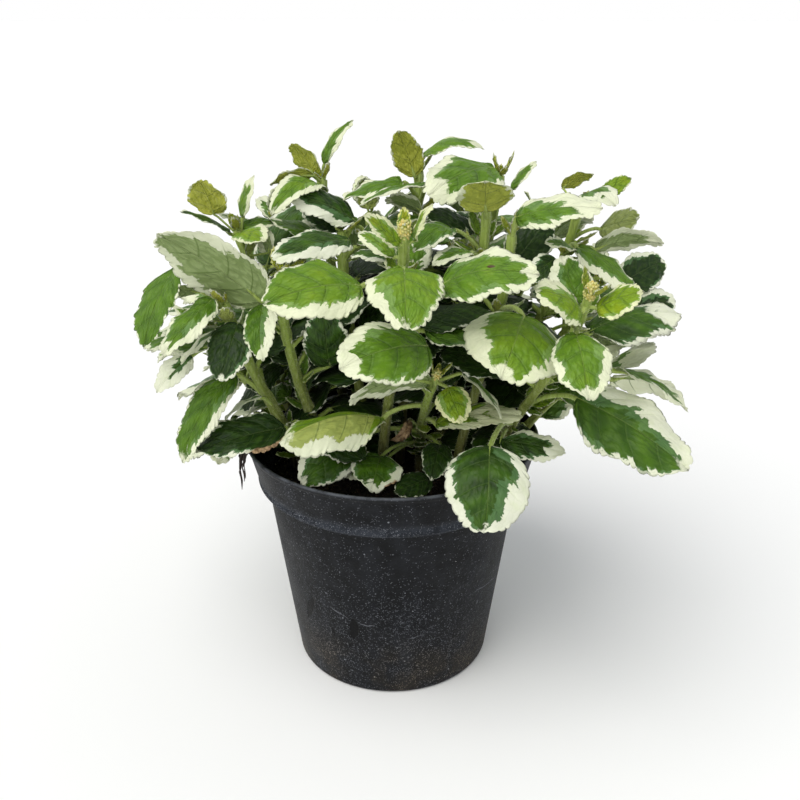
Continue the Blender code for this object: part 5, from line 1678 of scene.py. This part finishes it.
bud_material, tree, shader = new_material("yellow_buds")
place = own_place()
island = add("ShaderNodeNewGeometry").outputs["Random Per Island"]
base = colours(island, (0.36, 0.42, 0.1), (0.72, 0.5, 0.11), (0.5, (0.62, 0.56, 0.14)))
base = mix(ramp(noise(place, 1500.0), 0.4, 0.7), base, (0.75, 0.7, 0.35))
surface(base, 0.6, noise(place, 2200.0, 2.0), 0.6, 0.0002, sheen=0.1)

for name, tall, wide in HEADS:
    shoot = STEMS[name]
    way = heading(shoot, 1.0)
    heights = np.linspace(0.0, 1.0, 9)
    places = [shoot["tip"] + way * (tall * h - 1.0) for h in heights]
    points, faces = tube(places, wide * np.sqrt(np.maximum(1 - (2 * heights - 0.9) ** 2 / 1.25, 0.04)), 14)
    shell = new_shell()
    put(shell, points, faces)
    head = object_of(name + "_buds", shell, (bud_material,))
    with_nodes(head, bud_tree, {"Spacing": 1.05 * MM, "Bud": 0.62 * MM, "Seed": 2, "Finish": bud_material})
    head.data.polygons.foreach_set("use_smooth", [True] * len(head.data.polygons))
    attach(head, "root")


# The dry roots: a few black dead roots that hang out of the soil over the rim at the left, each a thin
# tapering strand that rests on the lip.
ROOTS = ((198, 21), (200, 15), (195.5, 17), (197, 9), (202.5, 12), (199, 6))
OVER_RIM = ((69.0, SOIL_TOP + 1), (71.5, 118), (73.9, 127.4), (75.4, 128.1), (77.3, 126.4), (78.0, 122))
HANGING = ((78.6, 125, 0.4), (78.8, 125, 0.7), (78.4, 126, 1.0))
ROOT_SIZES = (0.5, 0.5, 0.5, 0.5, 0.55, 0.75, 0.35, 0.5, 0.12)
root_material, tree, shader = new_material("dead_root")
place = own_place()
base = mix(noise(place, 500.0), (0.008, 0.006, 0.005), (0.05, 0.032, 0.024))
surface(base, 0.85, noise(place, 1500.0, 3.0), 0.8, 0.0003)
shell = new_shell()
draw = random.Random("roots")
for k, (turn, hang) in enumerate(ROOTS):
    places = []
    for radius, high in (*OVER_RIM, *((out, start - hang * share) for out, start, share in HANGING)):
        angle = math.radians(turn + draw.uniform(-0.6, 0.6))
        radius += draw.uniform(-0.5, 1.5) * (high < 124 and radius > 75)
        places.append((radius * math.cos(angle), radius * math.sin(angle), high))
    points, faces = tube(places, np.array(ROOT_SIZES) * (1.1 - 0.1 * k), 6)
    put(shell, points, faces)
roots = object_of("dead_roots", shell, (root_material,))
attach(roots, "root")


# The hairs: short soft pale hairs all over the stems and leaf stalks, seen on the nearest stems as a fine
# down. Geometry Nodes stand a thin spike on each of many points, leaning a little at random.
NEAREST = (
    "stem_front", "stem_right", "stem_inner", "stem_fan", "stem_left_big", "stem_left_low", "stem_low_front"
)
hair_tree, given, result = new_group(
    "soft_hairs", "GeometryNodeTree", ("Geometry", "Geometry"),
    Geometry="Geometry", Density="Float", Long="Float", Thick="Float", Seed="Int", Finish="Material",
)
tree = hair_tree
on_skin = {2: add("GeometryNodeInputMaterialIndex").outputs[0], 3: 1}
on_skin = add("FunctionNodeCompare", on_skin, data_type="INT", operation="EQUAL").outputs[0]
inputs = {"Mesh": given["Geometry"], "Selection": on_skin, "Density": given["Density"], "Seed": given["Seed"]}
scatter = add("GeometryNodeDistributePointsOnFaces", inputs)
spike = {"Vertices": 3, "Radius Top": 0.0, "Radius Bottom": given["Thick"], "Depth": given["Long"]}
spike = add("GeometryNodeMeshCone", spike)
lean = {"Seed": 11, 0: (-0.5, -0.5, 0.0), 1: (0.5, 0.5, 3.0)}
lean = add("FunctionNodeRandomValue", lean, data_type="FLOAT_VECTOR").outputs[0]
leaning = {"Rotation": scatter.outputs["Rotation"], "Rotate By": lean}
leaning = add("FunctionNodeRotateRotation", leaning, rotation_space="LOCAL").outputs[0]
uneven = add("FunctionNodeRandomValue", {"Seed": 4, 2: 0.5, 3: 1.3}, data_type="FLOAT").outputs[1]
wire(finish_with(on_points(scatter, spike, leaning, uneven), given["Finish"]), result)

hair_material, tree, shader = new_material("pale_hairs")
island = add("ShaderNodeNewGeometry").outputs["Random Per Island"]
surface(mix(island, (0.45, 0.5, 0.24), (0.8, 0.82, 0.66)), 0.5)
joined_shape = bmesh.new()
for name in NEAREST:
    joined_shape.from_mesh(leafy[name].data)
down = linked("stem_hairs", bpy.data.meshes.new("stem_hairs"))
joined_shape.to_mesh(down.data)
joined_shape.free()
hairs = {"Density": 650000.0, "Long": 1.0 * MM, "Thick": 0.045 * MM, "Seed": 9, "Finish": hair_material}
with_nodes(down, hair_tree, hairs)
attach(down, "root")


sizes = {"cad": [list(corner) for corner in cad_box], "scene": [list(corner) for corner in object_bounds()]}
